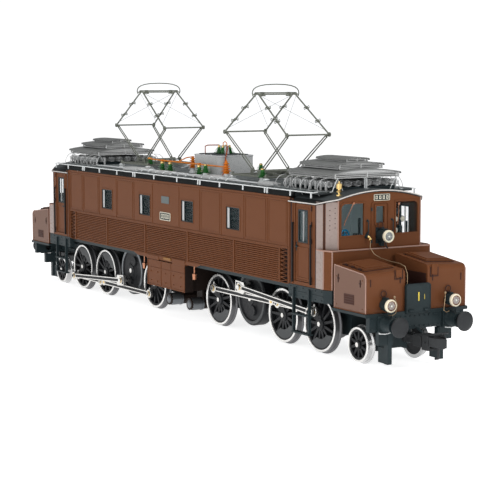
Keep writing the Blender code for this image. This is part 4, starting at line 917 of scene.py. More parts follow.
rim = Shape().frame(rounded(-7.0, 37.5, -16.5, 19.5, 6.4), rounded(-6.0, 36.5, -15.5, 18.5, 5.8), "Z",
                    118.5, 119.8)
rim.frame(rounded(-6.9, 37.4, -16.4, 19.4, 6.2), rounded(-5.5, 36.0, -15.0, 18.0, 5.4), "Z", 134.2, 135.3)
for x, y in ((4, -16.1), (14, -16.1), (25, -16.1), (37.1, -8), (37.1, 2), (37.1, 12)):
    rim.rod((x, y, 134.7), (x, y, 135.9), 0.7, sides=6)
rim.piece("breaker_tank_rim", speckle, "loco_body", "tank_grey", edge=0.15)
deck = Shape().bar(rounded(-3.5, 34.0, -13.0, 16.0, 4.6), "Z", 135.1, 135.9)
deck.piece("breaker_tank_lid", slab, "loco_body", "roof_grey")
bushings, pots, caps, bells = Shape(), Shape(), Shape(), Shape()
for x, y in ((10.5, 0.0), (17.0, 0.0), (10.5, 6.0), (17.0, 6.0)):
    insulator(bushings, x, y, 135.6, 5.4, 4.6)
    caps.turned([(0, 0), (0, 1.1), (1.6, 1.0), (2.0, 0)], (x, y, 141.0), (0, 0, 1), sides=12)
for x in (-48.0, -34.0, 16.0, 27.0):
    insulator(bushings, x, -22.0, 118.4, 7.4, 4.6)
    caps.turned([(0, 0), (0, 1.7), (1.4, 1.7), (2.0, 0.9), (2.0, 0)], (x, -22.0, 125.6), (0, 0, 1), sides=14)
for x, y in ((-20.0, -8.0), (62.6, -23.6)):
    pots.turned([(0, 0), (0, 3.4), (0.8, 3.4), (2.4, 2.4), (4.4, 2.0), (4.4, 0)], (x, y, 118.4),
                (0, 0, 1), sides=20)
    insulator(bells, x, y, 122.8, 9.6, 3.8)
for x, y in ((-74.0, -20.0), (46.0, -33.0), (118.0, -24.0), (-20.0, 14.0), (60.0, 10.0)):
    pots.turned([(0, 0), (0, 3.6), (0.8, 3.6), (2.6, 2.3), (4.6, 2.0), (4.6, 0)], (x, y, 118.4),
                (0, 0, 1), sides=20)
    insulator(bushings, x, y, 122.8, 5.8, 4.4)
    caps.turned([(0, 0), (0, 1.4), (1.0, 1.4), (1.6, 0)], (x, y, 128.4), (0, 0, 1), sides=12)
bushings.piece("green_insulators", green, "loco_body", "green_ceramic")
bells.piece("orange_insulators", orange, "loco_body", "copper_orange")
pots.piece("insulator_feet", white, "loco_body", "white_enamel")
bus = Shape()
bus.tube([(-76.0, -21.0, 128.6), (-60.0, -22.0, 128.1), (60.0, -22.0, 127.6)], 0.62, sides=8)
bus.tube([(17.0, 0.0, 142.4), (17.0, 0.0, 144.8), (18.4, 1.0, 146.0), (20.0, 1.6, 144.6),
          (20.0, 2.0, 142.0)], 0.4, sides=8)
bus.tube([(62.6, -23.6, 132.0), (62.6, -23.6, 133.4), (61.0, -22.6, 132.4), (59.6, -22.0, 127.9)], 0.5,
         sides=8)
bus.tube([(-20.0, -8.0, 132.0), (-20.0, -14.0, 131.4), (-20.0, -21.4, 128.4)], 0.5, sides=8)
bus.box((-49.4, -23.2, 127.3), (-46.6, -20.8, 128.8)).box((14.6, -23.2, 127.3), (17.4, -20.8, 128.8))
bus.piece("orange_bus", orange, "loco_body", "copper_orange", stands_for=["high_voltage_line"])
arches = Shape()
arches.tube([(3.0, -9.0, 135.8), (3.0, -9.0, 141.8), (4.0, -7.0, 142.6), (10.5, 0.0, 142.8)], 0.45, sides=8)
arches.tube([(28.0, -3.0, 135.8), (28.0, -3.0, 140.6), (30.0, -4.0, 142.6), (34.0, -6.0, 142.8),
             (37.6, -8.0, 140.6), (38.4, -10.0, 134.0),
             (38.4, -12.0, 122.0), (40.0, -14.0, 119.0)], 0.5, sides=8)
arches.piece("breaker_pipes", rust, "loco_body", "copper_orange")
caps.piece("insulator_caps", brass, "loco_body", "brass")
wiring = Shape()
for k in range(14):
    x = -86.0 + 13.0 * k
    wiring.tube([(x, 38.0, 118.7), (x, 35.0, 120.4 + 0.5 * (k % 3)), (x + 4.0, 22.0, 120.4),
                 (x + 5.0, 14.0, 118.8)], 0.5)
    wiring.tube([(x + 3.0, -38.0, 118.7), (x + 3.0, -35.6, 120.2 + 0.5 * (k % 2)),
                 (x + 6.0, -30.0, 120.0), (x + 7.0, -27.0, 118.8)], 0.45)
wiring.tube([(-150.0, -34.5, 119.4), (150.0, -34.5, 119.4)],
            0.6).tube([(-150.0, 31.0, 119.4), (150.0, 31.0, 119.4)], 0.6)
wiring.tube([(-150.0, -30.5, 119.2), (150.0, -30.5, 119.2)], 0.5)
wiring.piece("roof_wiring", white, "loco_body", "white_enamel")

# ---- pantographs ----------------------------------------------------------------------
# Raised diamond pantographs of thin olive-grey tube. The lower arms are twin rods, the upper
# arms single tubes with ringed joints and crossed stay wires, under a bar and an arched bow.
olive = painted("olive_grey_paint", (0.185, 0.195, 0.165), 0.42, metallic=0.35, mottle=0.12)
PANTO_X = {"front": 98.3, "rear": -95.8}
BASE, ELBOW, CROWN = (5.5, 16.0, 126.3), (46.0, 17.6, 155.3), (1.8, 16.7, 185.3)
for name, middle in PANTO_X.items():
    feet, frame_bars = Shape(), Shape()
    for y in (-24.0, 24.0):
        frame_bars.box((middle - 26.0, y - 0.9, 122.3), (middle + 26.0, y + 0.9, 123.9))
        for x in (middle - 25.0, middle + 25.0):
            feet.turned([(0, 0), (0, 3.3), (0.5, 3.3), (2.0, 2.0), (2.6, 2.7), (3.0, 2.7), (3.9, 1.4),
                         (3.9, 0)],
                        (x, y, 118.4), (0, 0, 1), sides=20)
            frame_bars.rod((x, y, 122.0), (x, y, 125.0), 1.3, sides=6)
    for way in (1, -1):
        x = middle + way * BASE[0]
        frame_bars.box((x - 1.1, -24.0, 122.3), (x + 1.1, 24.0, 123.5))
        frame_bars.box((middle + way * 25.0 - 0.8, -24.0, 122.3), (middle + way * 25.0 + 0.8, 24.0, 123.5))
        for side in SIDES.values():
            lug = [(x - 1.9, 122.4), (x + 1.9, 122.4), (x + 1.3, 127.4), (x - 1.3, 127.4)]
            frame_bars.bar(lug, "Y", *sorted((side * 17.5, side * 18.7)))
            frame_bars.tube([(x + way * 5.0, side * 8.0, 124.2), (x - way * 8.0, side * 8.0, 124.2)], 1.1,
                            sides=8)
    feet.piece("panto_feet_" + name, white, "loco_body", "white_enamel")
    frame_bars.piece("panto_base_frame_" + name, olive, "loco_body", "arm_grey",
                     stands_for=["panto_base_" + name], edge=0.15)
    for word, lean in ENDS.items():
        base = Vector((middle + lean * BASE[0], 0, BASE[2]))
        elbow = Vector((middle + lean * ELBOW[0], 0, ELBOW[2]))
        crown = Vector((middle + lean * CROWN[0], 0, CROWN[2]))
        body = f"panto_{name}_lower_arm_{word}"
        arm = Shape()
        rise = (elbow - base).normalized()
        off = Vector((-rise.z, 0, rise.x)) * 1.25
        for side in SIDES.values():
            start, stop = base + Vector((0, side * BASE[1], 0)), elbow + Vector((0, side * ELBOW[1], 0))
            for turn in (1, -1):
                arm.tube([start + off * turn + rise * 1.5, stop + off * turn * 0.75 - rise * 2.0], 0.50)
            for share in (0.04, 0.955):
                spot = start.lerp(stop, share)
                arm.rod(spot - off * 1.1, spot + off * 1.1, 0.6, sides=8)
            arm.tube([stop - rise * 2.4, stop], 0.95, sides=8).tube([start, start + rise * 2.2], 1.0, sides=8)
        arm.rod(base - Vector((0, 19.2, 0)), base + Vector((0, 19.2, 0)), 0.62)
        arm.rod(elbow - Vector((0, 19.9, 0)), elbow + Vector((0, 19.9, 0)), 0.62)
        arm.piece("lower_arm_" + name + "_" + word, olive, body, "arm_grey", stands_for=[body])
        body = f"panto_{name}_upper_arm_{word}"
        arm = Shape()
        rise = (crown - elbow).normalized()
        for side in SIDES.values():
            start, stop = elbow + Vector((0, side * 19.0, 0)), crown + Vector((0, side * CROWN[1], 0))
            arm.tube([start, stop], 0.68, sides=8)
            for share in (0.33, 0.66):
                spot = start.lerp(stop, share)
                arm.tube([spot - rise * 0.9, spot + rise * 0.9], 1.05, sides=10)
                arm.rod(spot - Vector((0, 2.4, 0)), spot + Vector((0, 2.4, 0)), 0.34, sides=6)
                for out in (1, -1):
                    eye = spot + Vector((0, out * 2.2, 0)) + rise * out * 0.8
                    arm.tube([eye + Vector((1.1 * math.cos(math.tau * k / 8), 0,
                                            1.1 * math.sin(math.tau * k / 8))) for k in range(8)],
                             0.26, sides=4, closed=True)
            arm.rod(start - Vector((0, 0.6, 0)), start + Vector((0, 0.6, 0)), 1.7, sides=16)
        arm.rod(crown - Vector((0, CROWN[1], 0)), crown + Vector((0, CROWN[1], 0)), 0.62)
        for side in SIDES.values():
            a = (elbow + Vector((0, side * 19.0, 0))).lerp(crown + Vector((0, side * CROWN[1], 0)), 0.10)
            b = (elbow + Vector((0, -side * 19.0, 0))).lerp(crown + Vector((0, -side * CROWN[1], 0)), 0.97)
            arm.rod(a, b, 0.13, sides=5)
        arm.piece("upper_arm_" + name + "_" + word, olive, body, "arm_grey", stands_for=[body])
    head = Shape()
    bar_z = 186.5
    head.box((middle - 0.7, -18.6, bar_z - 0.40), (middle + 0.7, 18.6, bar_z + 0.40))
    head.tube([(middle, 21.2 * y, bar_z + 6.4 * z) for y, z in
               ((-0.97, -0.42), (-1.0, -0.1), (-0.985, 0.2), (-0.93, 0.46), (-0.83, 0.66), (-0.66, 0.84),
                (-0.40, 0.96), (0, 1.0),
                (0.40, 0.96), (0.66, 0.84), (0.83, 0.66), (0.93, 0.46), (0.985, 0.2), (1.0, -0.1),
                (0.97, -0.42))], 0.46, sides=8)
    for side in SIDES.values():
        head.rod((middle, side * 17.0, bar_z - 1.0), (middle, side * 20.8, bar_z - 1.4), 0.5, sides=8)
        head.rod((middle - 2.6, side * 17.4, bar_z - 1.0), (middle + 2.6, side * 17.4, bar_z - 1.0), 0.8,
                 sides=8)
    for y in (-12.0, 12.0):
        head.bar([(middle - 3.9, 183.7), (middle + 3.9, 183.7), (middle + 2.6, 187.0),
                  (middle - 2.6, 187.0)], "Y", y - 0.5, y + 0.5)
    head.piece("panto_bow_" + name, olive, "panto_head_" + name, "arm_grey",
               stands_for=["panto_head_" + name])

# ---- headlights -------------------------------------------------------------------------
# Three at each end: a black drum with a cream rim, a clear lens over a pale dish, and a dark
# wire hoop above. The top one's cable comes from a brass plug beside it.
lens = Finish("lamp_lens", 0.03, 0.0, Alpha=0.30, Coat_Weight=1.0)
lens.feed("Base Color", lens.mixed(lens.noise(500.0), (0.75, 0.80, 0.80), (0.88, 0.92, 0.90)))
dish = painted("lamp_dish", (0.82, 0.85, 0.74), 0.25, mottle=0.18)
cream = painted("lamp_rim_cream", (0.86, 0.78, 0.60), 0.30, mottle=0.05)
wire_brass = Finish("dull_brass_wire", 0.42, 0.6)
wire_brass.feed("Base Color", wire_brass.mixed(wire_brass.noise(300.0), (0.26, 0.17, 0.09),
                                               (0.44, 0.32, 0.20)))


def headlight(name, body, back, face, y, z, at):
    reach = face - back
    can = Shape().turned([(0, 0), (0, 3.3), (0.9, 4.05), (reach - 0.6, 4.05), (reach - 0.6, 0)],
                         (back, y, z), (1, 0, 0), sides=28)
    can.turned([(0, 3.8), (0, 4.35), (0.8, 4.35), (0.8, 3.8)], (back + reach * 0.45, y, z), (1, 0, 0),
               sides=28, ring=True)
    can.box((back, y - 1.2, z + 3.6), (back + reach * 0.5, y + 1.2, z + 5.0))
    can.piece("lamp_drum_" + name, black, body, "frame_black", at=at)
    rim = Shape().turned([(-1.2, 4.0), (-1.2, 4.35), (0.5, 4.45), (1.0, 4.05), (1.0, 3.45), (-0.4, 3.35)],
                         (face - 0.9, y, z), (1, 0, 0), sides=32, ring=True)
    rim.piece("lamp_rim_" + name, cream, body, "white_enamel", at=at)
    glow = Shape().turned([(0, 0), (0, 3.5), (0.25, 3.5), (0.02, 0)], (face - 0.62, y, z), (1, 0, 0),
                          sides=28)
    glow.ball((face - 0.2, y, z), 0.7)
    glow.piece("lamp_dish_" + name, dish, body, at=at)
    Shape().turned([(0, 0), (0, 3.4), (0.4, 3.1), (0.75, 2.1), (0.9, 0)], (face - 0.5, y, z), (1, 0, 0),
                   sides=28).piece(
        "lamp_lens_" + name, lens, body, "clear_glass", at=at)
    hoop = Shape().tube([(back + 1.4, y - 0.8 + 2.2 * math.cos(math.tau * k / 20),
                          z + 7.3 + 2.2 * math.sin(math.tau * k / 20))
                         for k in range(20)], 0.36, closed=True)
    hoop.rod((back, y - 0.8, z + 5.2), (back + 1.6, y - 0.8, z + 5.2), 0.5, sides=8)
    hoop.piece("lamp_hoop_" + name, dark_brown, body, "oxide_brown", at=at)


for end_name, end in ENDS.items():
    turn = half_turn(end)
    headlight("top_" + end_name, "loco_body", 237.4, 248.4, 0.0, 87.9, turn)
    mount = Shape().box((236.8, -3.6, 82.2), (237.5, 3.6, 93.6)).box((237.2, -1.2, 80.6), (241.0, 1.2, 83.8))
    mount.rod((236.8, -11.3, 87.8), (239.2, -11.3, 87.8), 1.9, 1.5, sides=16)
    mount.tube([(243.0, 0.8, 83.6), (243.0, 1.2, 80.3), (242.6, 2.9, 79.2)], 0.55)
    mount.piece("lamp_mount_" + end_name, black, "loco_body", "frame_black", at=turn, edge=0.15)
    plug = Shape().rod((239.0, -11.2, 87.4), (240.4, -11.0, 86.6), 1.2, 1.0).ball((240.6, -10.9, 86.0), 1.3)
    plug.piece("lamp_plug_" + end_name, brass, "loco_body", "brass", at=turn)
    for number, side in enumerate((-1, 1)):
        label = ("right_", "left_")[number] + end_name
        headlight(label, "bogie_" + end_name, 279.8, 289.3, side * 27.4, 46.0, turn)

# ---- bogie frames -----------------------------------------------------------------------
# Each bogie carries a black footplate with a riveted buffer beam, a drop plate between the
# hoods with blank yellow stripes, guard posts ahead of the wheels and wire lamp brackets.
CAB_WIRE = [(241.0, -10.8, 85.2), (241.0, -11.1, 79.9), (243.4, -9.2, 75.6), (250.0, -8.4, 73.4),
            (262.0, -8.2, 72.2),
            (272.0, -8.2, 71.9), (278.0, -8.3, 70.6), (281.0, -8.5, 66.0), (281.6, -8.8, 58.0)]
yellow = painted("yellow_mark", (0.72, 0.56, 0.08), 0.40, mottle=0.05)
for end_name, end in ENDS.items():
    turn, body = half_turn(end), "bogie_" + end_name
    dressed("bogie_frame_" + end_name, black)
    beam = Shape()
    for y in range(-38, 39, 4):
        beam.rod((281.4, y, 36.6), (282.1, y, 36.6), 0.6, 0.45, sides=8)
        beam.rod((281.4, y, 29.6), (282.1, y, 29.6), 0.6, 0.45, sides=8)
    beam.box((240.6, -43.2, 39.8), (281.7, 43.2, 40.3)).box((281.3, -43.2, 37.9), (282.0, 43.2, 40.2))
    for side in SIDES.values():
        y = side * 27.4
        beam.frame(rounded(y - 6.4, y + 6.4, 26.6, 39.0, 1.0), rounded(y - 3.4, y + 3.4, 29.4, 36.2, 3.2),
                   "X", 281.4, 282.9)
        beam.turned([(0, 4.3), (0, 5.6), (1.4, 5.4), (2.4, 4.6), (9.2, 4.6), (9.2, 5.2), (10.6, 5.2),
                     (10.6, 3.2)],
                    (282.6, y, 32.8), (1, 0, 0), sides=24, ring=True)
        for dy in (-5.0, 5.0):
            for dz in (-4.8, 4.8):
                beam.rod((282.8, y + dy, 32.8 + dz), (283.5, y + dy, 32.8 + dz), 0.75, sides=6)
        beam.rod((277.0, side * 22.0, 24.0), (279.0, side * 22.0, 5.0), 1.4, 1.0)
        beam.tube([(244.0, side * 13.6, 33.0), (262.0, side * 13.6, 33.0)], 1.1)
        for x in (66.0, 88.0, 119.0, 137.0, 168.0, 184.0):
            beam.box((x - 2.0, side * 13.3, 16.5), (x + 2.0, side * 14.2, 38.5))
    for y in (-6.5, 6.5):
        beam.rod((283.2, y - 2.0, 40.6), (283.2, y + 2.0, 40.6), 0.9, sides=8)
    beam.frame([(-10.3, 38.6), (10.3, 38.6), (10.3, 57.3), (9.0, 58.6), (-9.0, 58.6), (-10.3, 57.3)],
               [(-9.8, 39.1), (9.8, 39.1), (9.8, 57.1), (8.8, 58.1), (-8.8, 58.1), (-9.8, 57.1)], "X",
               282.6, 283.1)
    for side in SIDES.values():
        beam.box((276.0, side * 19.0, 18.0), (280.0, side * 31.0, 26.6))
    beam.tube([(282.0, 0.0, 27.8), (286.6, 0.0, 26.0), (288.0, 0.0, 20.0)], 1.0)
    beam.piece("buffer_beam_" + end_name, black, body, "frame_black", at=turn, edge=0.12)
    marks = Shape().box((282.7, -0.5, 46.9), (283.1, 0.5, 52.9)).box((282.7, 4.9, 47.8), (282.9, 5.25, 51.3))
    marks.piece("yellow_marks_" + end_name, yellow, body, at=turn, edge=0.08)
    loops = Shape()
    loops.tube([(284.6, 21.6, 50.6), (286.0, 20.0, 46.0), (287.4, 18.0, 39.6), (287.4, 20.4, 38.2),
                (286.0, 24.0, 38.4), (282.4, 25.2, 38.6)], 0.26)
    loops.tube([(284.6, -21.6, 50.6), (286.0, -20.2, 46.0), (287.0, -22.4, 40.6), (286.4, -24.6, 39.2),
                (282.4, -25.4, 38.8)], 0.26)
    for y in (21.6, -21.6):
        loops.ball((284.4, y, 51.2), 0.9)
    loops.piece("lamp_wires_" + end_name, wire_brass, body, "brass", at=turn)
    handles = Shape()
    for side in SIDES.values():
        handles.tube([(281.6, side * 33.2, 29.0), (283.2, side * 33.0, 26.9), (283.4, side * 28.0, 26.4),
                      (283.2, side * 23.0, 26.9), (281.6, side * 22.8, 29.0)], 0.4, sides=8)
    handles.piece("shunters_handles_" + end_name, white, body, "white_enamel", at=turn)
    points = [turn @ Vector(spot) for spot in CAB_WIRE]
    wire = Shape().tube(points, 0.30)
    bmesh.ops.scale(wire.bm, vec=(MM, MM, MM), verts=wire.bm.verts)
    bmesh.ops.recalc_face_normals(wire.bm, faces=wire.bm.faces)
    mesh = bpy.data.meshes.new("lamp_cable_" + end_name)
    wire.bm.to_mesh(mesh)
    wire.bm.free()
    mesh.materials.append(wire_brass.material)
    mesh.shade_smooth()
    cable = bpy.data.objects.new("lamp_cable_" + end_name, mesh)
    bpy.context.scene.collection.objects.link(cable)
    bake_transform(cable)

# ---- hoods --------------------------------------------------------------------------------
# Equipment boxes of folded sheet with rolled edges. Each has a raised lid on three hinges, a
# toggle latch, a louvred square on its flank and a seam of small screws along the foot.
hood_brown = painted("hood_brown_paint_sheen_sides", BROWN, 0.34, mottle=0.07, Specular_IOR_Level=0.08)
# The hood sides get a paler, greyer brown: a painted sheen, the light those faces reflect.
sheen_side_mask = hood_brown.size(hood_brown.axis("Y")) > 0.0418
hood_brown.feed("Base Color", hood_brown.mixed(sheen_side_mask, hood_brown.tone, (0.168, 0.094, 0.068)))
# A much darker brown for the louvred square: painted shade in its slots.
shaded_louvre_brown = painted("shaded_louvre_brown", (0.062, 0.024, 0.016), 0.5, mottle=0.08)
HOOD_TOP = {1: (72.3, 68.7), -1: (75.2, 71.0)}
for end_name, end in ENDS.items():
    body = "bogie_" + end_name
    for side_name, side in SIDES.items():
        label, at = f"{end_name}_{side_name}", spread(end, side)
        rear, front = HOOD_TOP[-1 if side * end > 0 else 1]
        dressed("hood_" + label, hood_brown)

        def top(x, y, lift=0.0):
            """A point over the sloping hood top."""
            return (x, y, rear + (front - rear) * (x - 242.7) / 37.3 - 1.7 * (y - 9.5) / 32.9 + lift)

        # The edge beads take the lighter brown: a painted highlight.
        bead = Shape()
        bead.tube([(280.1, 42.3, 40.6), (280.1, 42.3, front - 4.6), (279.2, 42.3, front - 2.9),
                   top(277.2, 42.3, -0.3)], 0.42)
        bead.tube([top(277.2, 42.3, -0.2), top(243.0, 42.3, -0.2)],
                  0.40).tube([(242.9, 42.3, 40.6), top(242.9, 42.3, -0.2)], 0.34)
        bead.piece("hood_beads_" + label, painted_highlight_edge, body, "oxide_brown", at=at)
        foot = Shape().box((242.8, 9.4, 40.3), (280.4, 42.7, 41.0))
        for x in (246.0, 276.5):
            for z in (43.4, front - 6.0):
                foot.rod((x, 42.3, z), (x, 42.75, z), 0.5, 0.35, sides=8)
        for y in (12.0, 40.0):
            for z in (43.4, front - 6.0):
                foot.rod((279.8, y, z), (280.4, y, z), 0.5, 0.35, sides=8)
        panel = [top(248.6, 16.2, 1.2), top(270.0, 16.2, 1.2), top(270.0, 35.8, 1.2), top(248.6, 35.8, 1.2)]
        lower = [foot.bm.verts.new(spot) for spot in panel]
        upper = [foot.bm.verts.new((x, y, z + 0.9)) for x, y, z in panel]
        foot.bm.faces.new(lower)
        foot.bm.faces.new(upper[::-1])
        for k in range(4):
            foot.bm.faces.new([lower[k], upper[k], upper[(k + 1) % 4], lower[(k + 1) % 4]])
        foot.piece("hood_fittings_" + label, plain_brown, body, "oxide_brown", at=at, edge=0.12)
        dark = Shape()
        gap = [top(246.4, 13.9, 0.1), top(272.1, 13.9, 0.1), top(272.1, 38.1, 0.1), top(246.4, 38.1, 0.1)]
        dark.tube(gap, 0.34, closed=True)
        for x in (251.0, 259.0, 267.0):
            dark.rod(top(x - 1.6, 37.9, 0.8), top(x + 1.6, 37.9, 0.8), 0.6, sides=8)
        dark.box((247.4, 42.3, 58.6), (248.2, 42.75, 64.4)).box((246.8, 42.3, 61.0), (249.0, 42.8, 61.9))
        dark.box((273.6, 42.3, 58.0), (274.4, 42.75, 63.0)).box((272.8, 42.3, 60.0), (275.2, 42.8, 60.8))
        dark.box((279.9, 38.0, 58.6), (280.35, 38.7, 63.6)).box((279.9, 13.4, 59.6), (280.35, 14.1, 64.6))
        for y in (11.6, 18.0):
            dark.box((279.9, y, 62.4), (280.4, y + 0.5, 69.0))
        dark.box((279.9, 11.6, 62.4), (280.5, 18.5, 63.0))
        # A dark sheet over the hood's inner side, facing the other hood: painted shade in the narrow gap
        # between them.
        dark.box((244.6, 9.1, 42.0), (278.4, 9.45, 64.8))
        dark.piece("hood_irons_" + label, dark_brown, body, "oxide_brown", at=at)
        # The louvred square in the darker brown: painted shade.
        louvre = Shape().box((254.8, 42.3, 45.0), (266.8, 42.6, 51.9))
        for z in (45.6, 47.2, 48.8, 50.4):
            louvre.bar([(42.5, z), (42.85, z), (42.5, z + 1.1)], "X", 255.4, 266.2)
        louvre.piece("hood_louvre_" + label, shaded_louvre_brown, body, "oxide_brown", at=at)
        latch = Shape().box((279.9, 12.6, 64.0), (280.8, 17.6, front + 0.2))
        latch.piece("hood_latch_" + label, plain_brown, body, "oxide_brown", at=at, edge=0.2)

# ---- wheels and jackshafts ------------------------------------------------------------------
# Cast black spoked wheels with bright faces on the tyres, a dark counterweight opposite each crank
# pin and a slotted screw in each hub. The jackshafts turn in solid drums cranked alike.
tyre = painted("turned_tyre", (0.80, 0.79, 0.77), 0.24, metallic=0.6, mottle=0.06)
pony_tread = painted("polished_tread", (0.50, 0.50, 0.50), 0.22, metallic=0.85, mottle=0.12)
tread = painted("rolling_tread", (0.13, 0.13, 0.135), 0.34, metallic=0.7, mottle=0.15)
spoke_black = painted("wheel_black_paint", (0.014, 0.015, 0.017), 0.5, mottle=0.2)
weight_grey = painted("counterweight_grey", (0.060, 0.064, 0.066), 0.42, mottle=0.12)
THROW = 9.5
ANGLE = {("front", "right"): 105.0, ("front", "left"): 195.0, ("rear", "right"): 245.0,
         ("rear", "left"): 335.0}
DRIVERS = (55.2, 151.3, 200.6)
DRIVER_Z, SHAFT_X, SHAFT_Z, PONY_X, PONY_Z = 21.8, 102.1, 28.3, 248.6, 13.9


def crank(end_name, side_name):
    angle = math.radians(ANGLE[end_name, side_name])
    return Vector((THROW * math.cos(angle), 0, THROW * math.sin(angle)))


def wheel_pair(body, centre, radius, spokes, hub, reach):
    rim_in = radius - 2.9
    tyres, faces, wheel, weights, pins = Shape(), Shape(), Shape(), Shape(), Shape()
    for side_name, side in SIDES.items():
        def at(offset, y):
            return centre + offset + Vector((0, side * y, 0))
        out = (0, side, 0)
        tyres.turned([(21.1, rim_in + 1.4), (21.1, radius + 1.1), (21.5, radius + 1.3), (22.0, radius + 1.25),
                      (22.7, radius), (26.1, radius - 0.12), (26.3, radius - 0.4), (26.3, rim_in + 1.4)],
                     centre, out, sides=56, ring=True)
        faces.turned([(26.0, radius - 2.0), (26.0, radius - 0.2), (26.5, radius - 0.45),
                      (26.5, radius - 1.8)],
                     centre, out, sides=56, ring=True)
        wheel.turned([(21.4, rim_in - 0.6), (21.4, rim_in + 1.6), (26.0, rim_in + 1.6),
                      (25.8, rim_in - 0.6)], centre, out, sides=48, ring=True)
        wheel.turned([(20.6, 0), (20.6, hub), (26.4, hub), (26.8, hub - 0.5), (26.8, 0)], centre, out,
                     sides=24)
        wheel.turned([(21.6, 0), (21.6, rim_in), (22.2, rim_in), (22.2, 0)], centre, out, sides=40)
        for i in range(spokes):
            angle = math.tau * (i + 0.5) / spokes
            ray, across = Vector((math.cos(angle), 0, math.sin(angle))), Vector((-math.sin(angle), 0,
                                                                                 math.cos(angle)))
            spots = [ray * (hub - 0.4) + across * 1.15, ray * (hub - 0.4) - across * 1.15,
                     ray * rim_in - across * 0.75, ray * rim_in + across * 0.75]
            rows = [[wheel.bm.verts.new(at(spot, y)) for spot in spots] for y in (22.0, 25.7)]
            wheel.bm.faces.new(rows[0])
            wheel.bm.faces.new(rows[1][::-1])
            for k in range(4):
                wheel.bm.faces.new([rows[0][k], rows[1][k], rows[1][(k + 1) % 4], rows[0][(k + 1) % 4]])
        pins.rod(at(Vector(), 26.6), at(Vector(), 27.3), 1.7, sides=16)
        if reach:
            throw = crank(body.split("_")[2], side_name)
            heading = math.atan2(throw.z, throw.x)
            wheel.rod(at(throw, 25.0), at(throw, 27.7), 3.3, 3.0, sides=24)
            across = Vector((-throw.z, 0, throw.x)).normalized()
            web = [across * 3.4, -across * 3.4, throw - across * 2.8, throw + across * 2.8]
            rows = [[wheel.bm.verts.new(at(spot, y)) for spot in web] for y in (24.0, 26.7)]
            wheel.bm.faces.new(rows[0])
            wheel.bm.faces.new(rows[1][::-1])
            for k in range(4):
                wheel.bm.faces.new([rows[0][k], rows[1][k], rows[1][(k + 1) % 4], rows[0][(k + 1) % 4]])
            spread_deg = [heading + math.pi + math.radians(d) for d in range(-52, 53, 8)]
            outer = [(rim_in - 0.1) * Vector((math.cos(a), 0, math.sin(a))) for a in spread_deg]
            inner = [(rim_in - 6.8) * Vector((math.cos(a), 0,
                                              math.sin(a))) for a in reversed(spread_deg[2:-2])]
            spots = outer + inner
            rows = [[weights.bm.verts.new(at(spot, y)) for spot in spots] for y in (22.4, 26.1)]
            weights.bm.faces.new(rows[0])
            weights.bm.faces.new(rows[1][::-1])
            for k in range(len(spots)):
                j = (k + 1) % len(spots)
                weights.bm.faces.new([rows[0][k], rows[1][k], rows[1][j], rows[0][j]])
            pins.rod(at(throw, 27.0), at(throw, reach), 1.45, sides=16)
            pins.rod(at(throw, reach - 1.0), at(throw, reach), 2.1, sides=6)
    pins.rod(centre - Vector((0, 21.5, 0)), centre + Vector((0, 21.5, 0)), 2.2, sides=16)
    tyres.piece("tyres_" + body, pony_tread if "pony" in body else tread, body, "bright_steel",
                stands_for=[body])
    faces.piece("tyre_faces_" + body, tyre, body, "bright_steel")
    wheel.piece("spokes_" + body, spoke_black, body, "wheel_black", stands_for=[body])
    pins.piece("pins_" + body, steel, body, "bright_steel", stands_for=[body])
    if reach:
        weights.piece("counterweights_" + body, weight_grey, body, "wheel_black")
    else:
        weights.bm.free()


for end_name, end in ENDS.items():
    for i, x in enumerate(DRIVERS, start=1):
        reach = 35.4 if i == 3 else 31.6
        wheel_pair(f"driving_wheelset_{end_name}_{i}", Vector((end * x, 0, DRIVER_Z)), 20.5, 13, 4.6, reach)
    wheel_pair("pony_wheelset_" + end_name, Vector((end * PONY_X, 0, PONY_Z)), 12.6, 10, 3.0, 0)
    body, centre = "jackshaft_" + end_name, Vector((end * SHAFT_X, 0, SHAFT_Z))
    drum, ring, pins = Shape(), Shape(), Shape()
    for side_name, side in SIDES.items():
        out = (0, side, 0)
        drum.turned([(15.2, 0), (15.2, 20.6), (15.8, 21.2), (23.8, 21.2), (24.4, 20.6), (24.4, 17.4),
                     (23.6, 17.0),
                     (23.6, 8.0), (24.3, 7.4), (24.6, 5.6), (25.6, 5.0), (25.6, 0)], centre, out, sides=56)
        throw = crank(end_name, side_name)
        for way in (1, -1):
            spot = centre + way * throw
            drum.rod(spot + Vector((0, side * 23.0, 0)), spot + Vector((0, side * 25.4, 0)), 4.4, 4.0,
                     sides=28)
        lift = centre + throw
        pins.rod(lift + Vector((0, side * 25.0, 0)), lift + Vector((0, side * 35.4, 0)), 1.45, sides=16)
        pins.rod(lift + Vector((0, side * 34.4, 0)), lift + Vector((0, side * 35.5, 0)), 2.2, sides=6)
        pins.rod(centre + Vector((0, side * 25.4, 0)), centre + Vector((0, side * 26.1, 0)), 2.0, sides=16)
        ring.turned([(23.9, 17.6), (23.9, 20.2), (24.7, 20.0), (24.7, 17.8)], centre, out, sides=56,
                    ring=True)
    pins.rod(centre - Vector((0, 15.5, 0)), centre + Vector((0, 15.5, 0)), 2.2, sides=16)
    drum.piece("crank_drums_" + end_name, spoke_black, body, "wheel_black", stands_for=[body], edge=0.2)
    ring.piece("drum_rings_" + end_name, weight_grey if end > 0 else dull, body, "wheel_black")
    pins.piece("drum_pins_" + end_name, steel, body, "bright_steel")

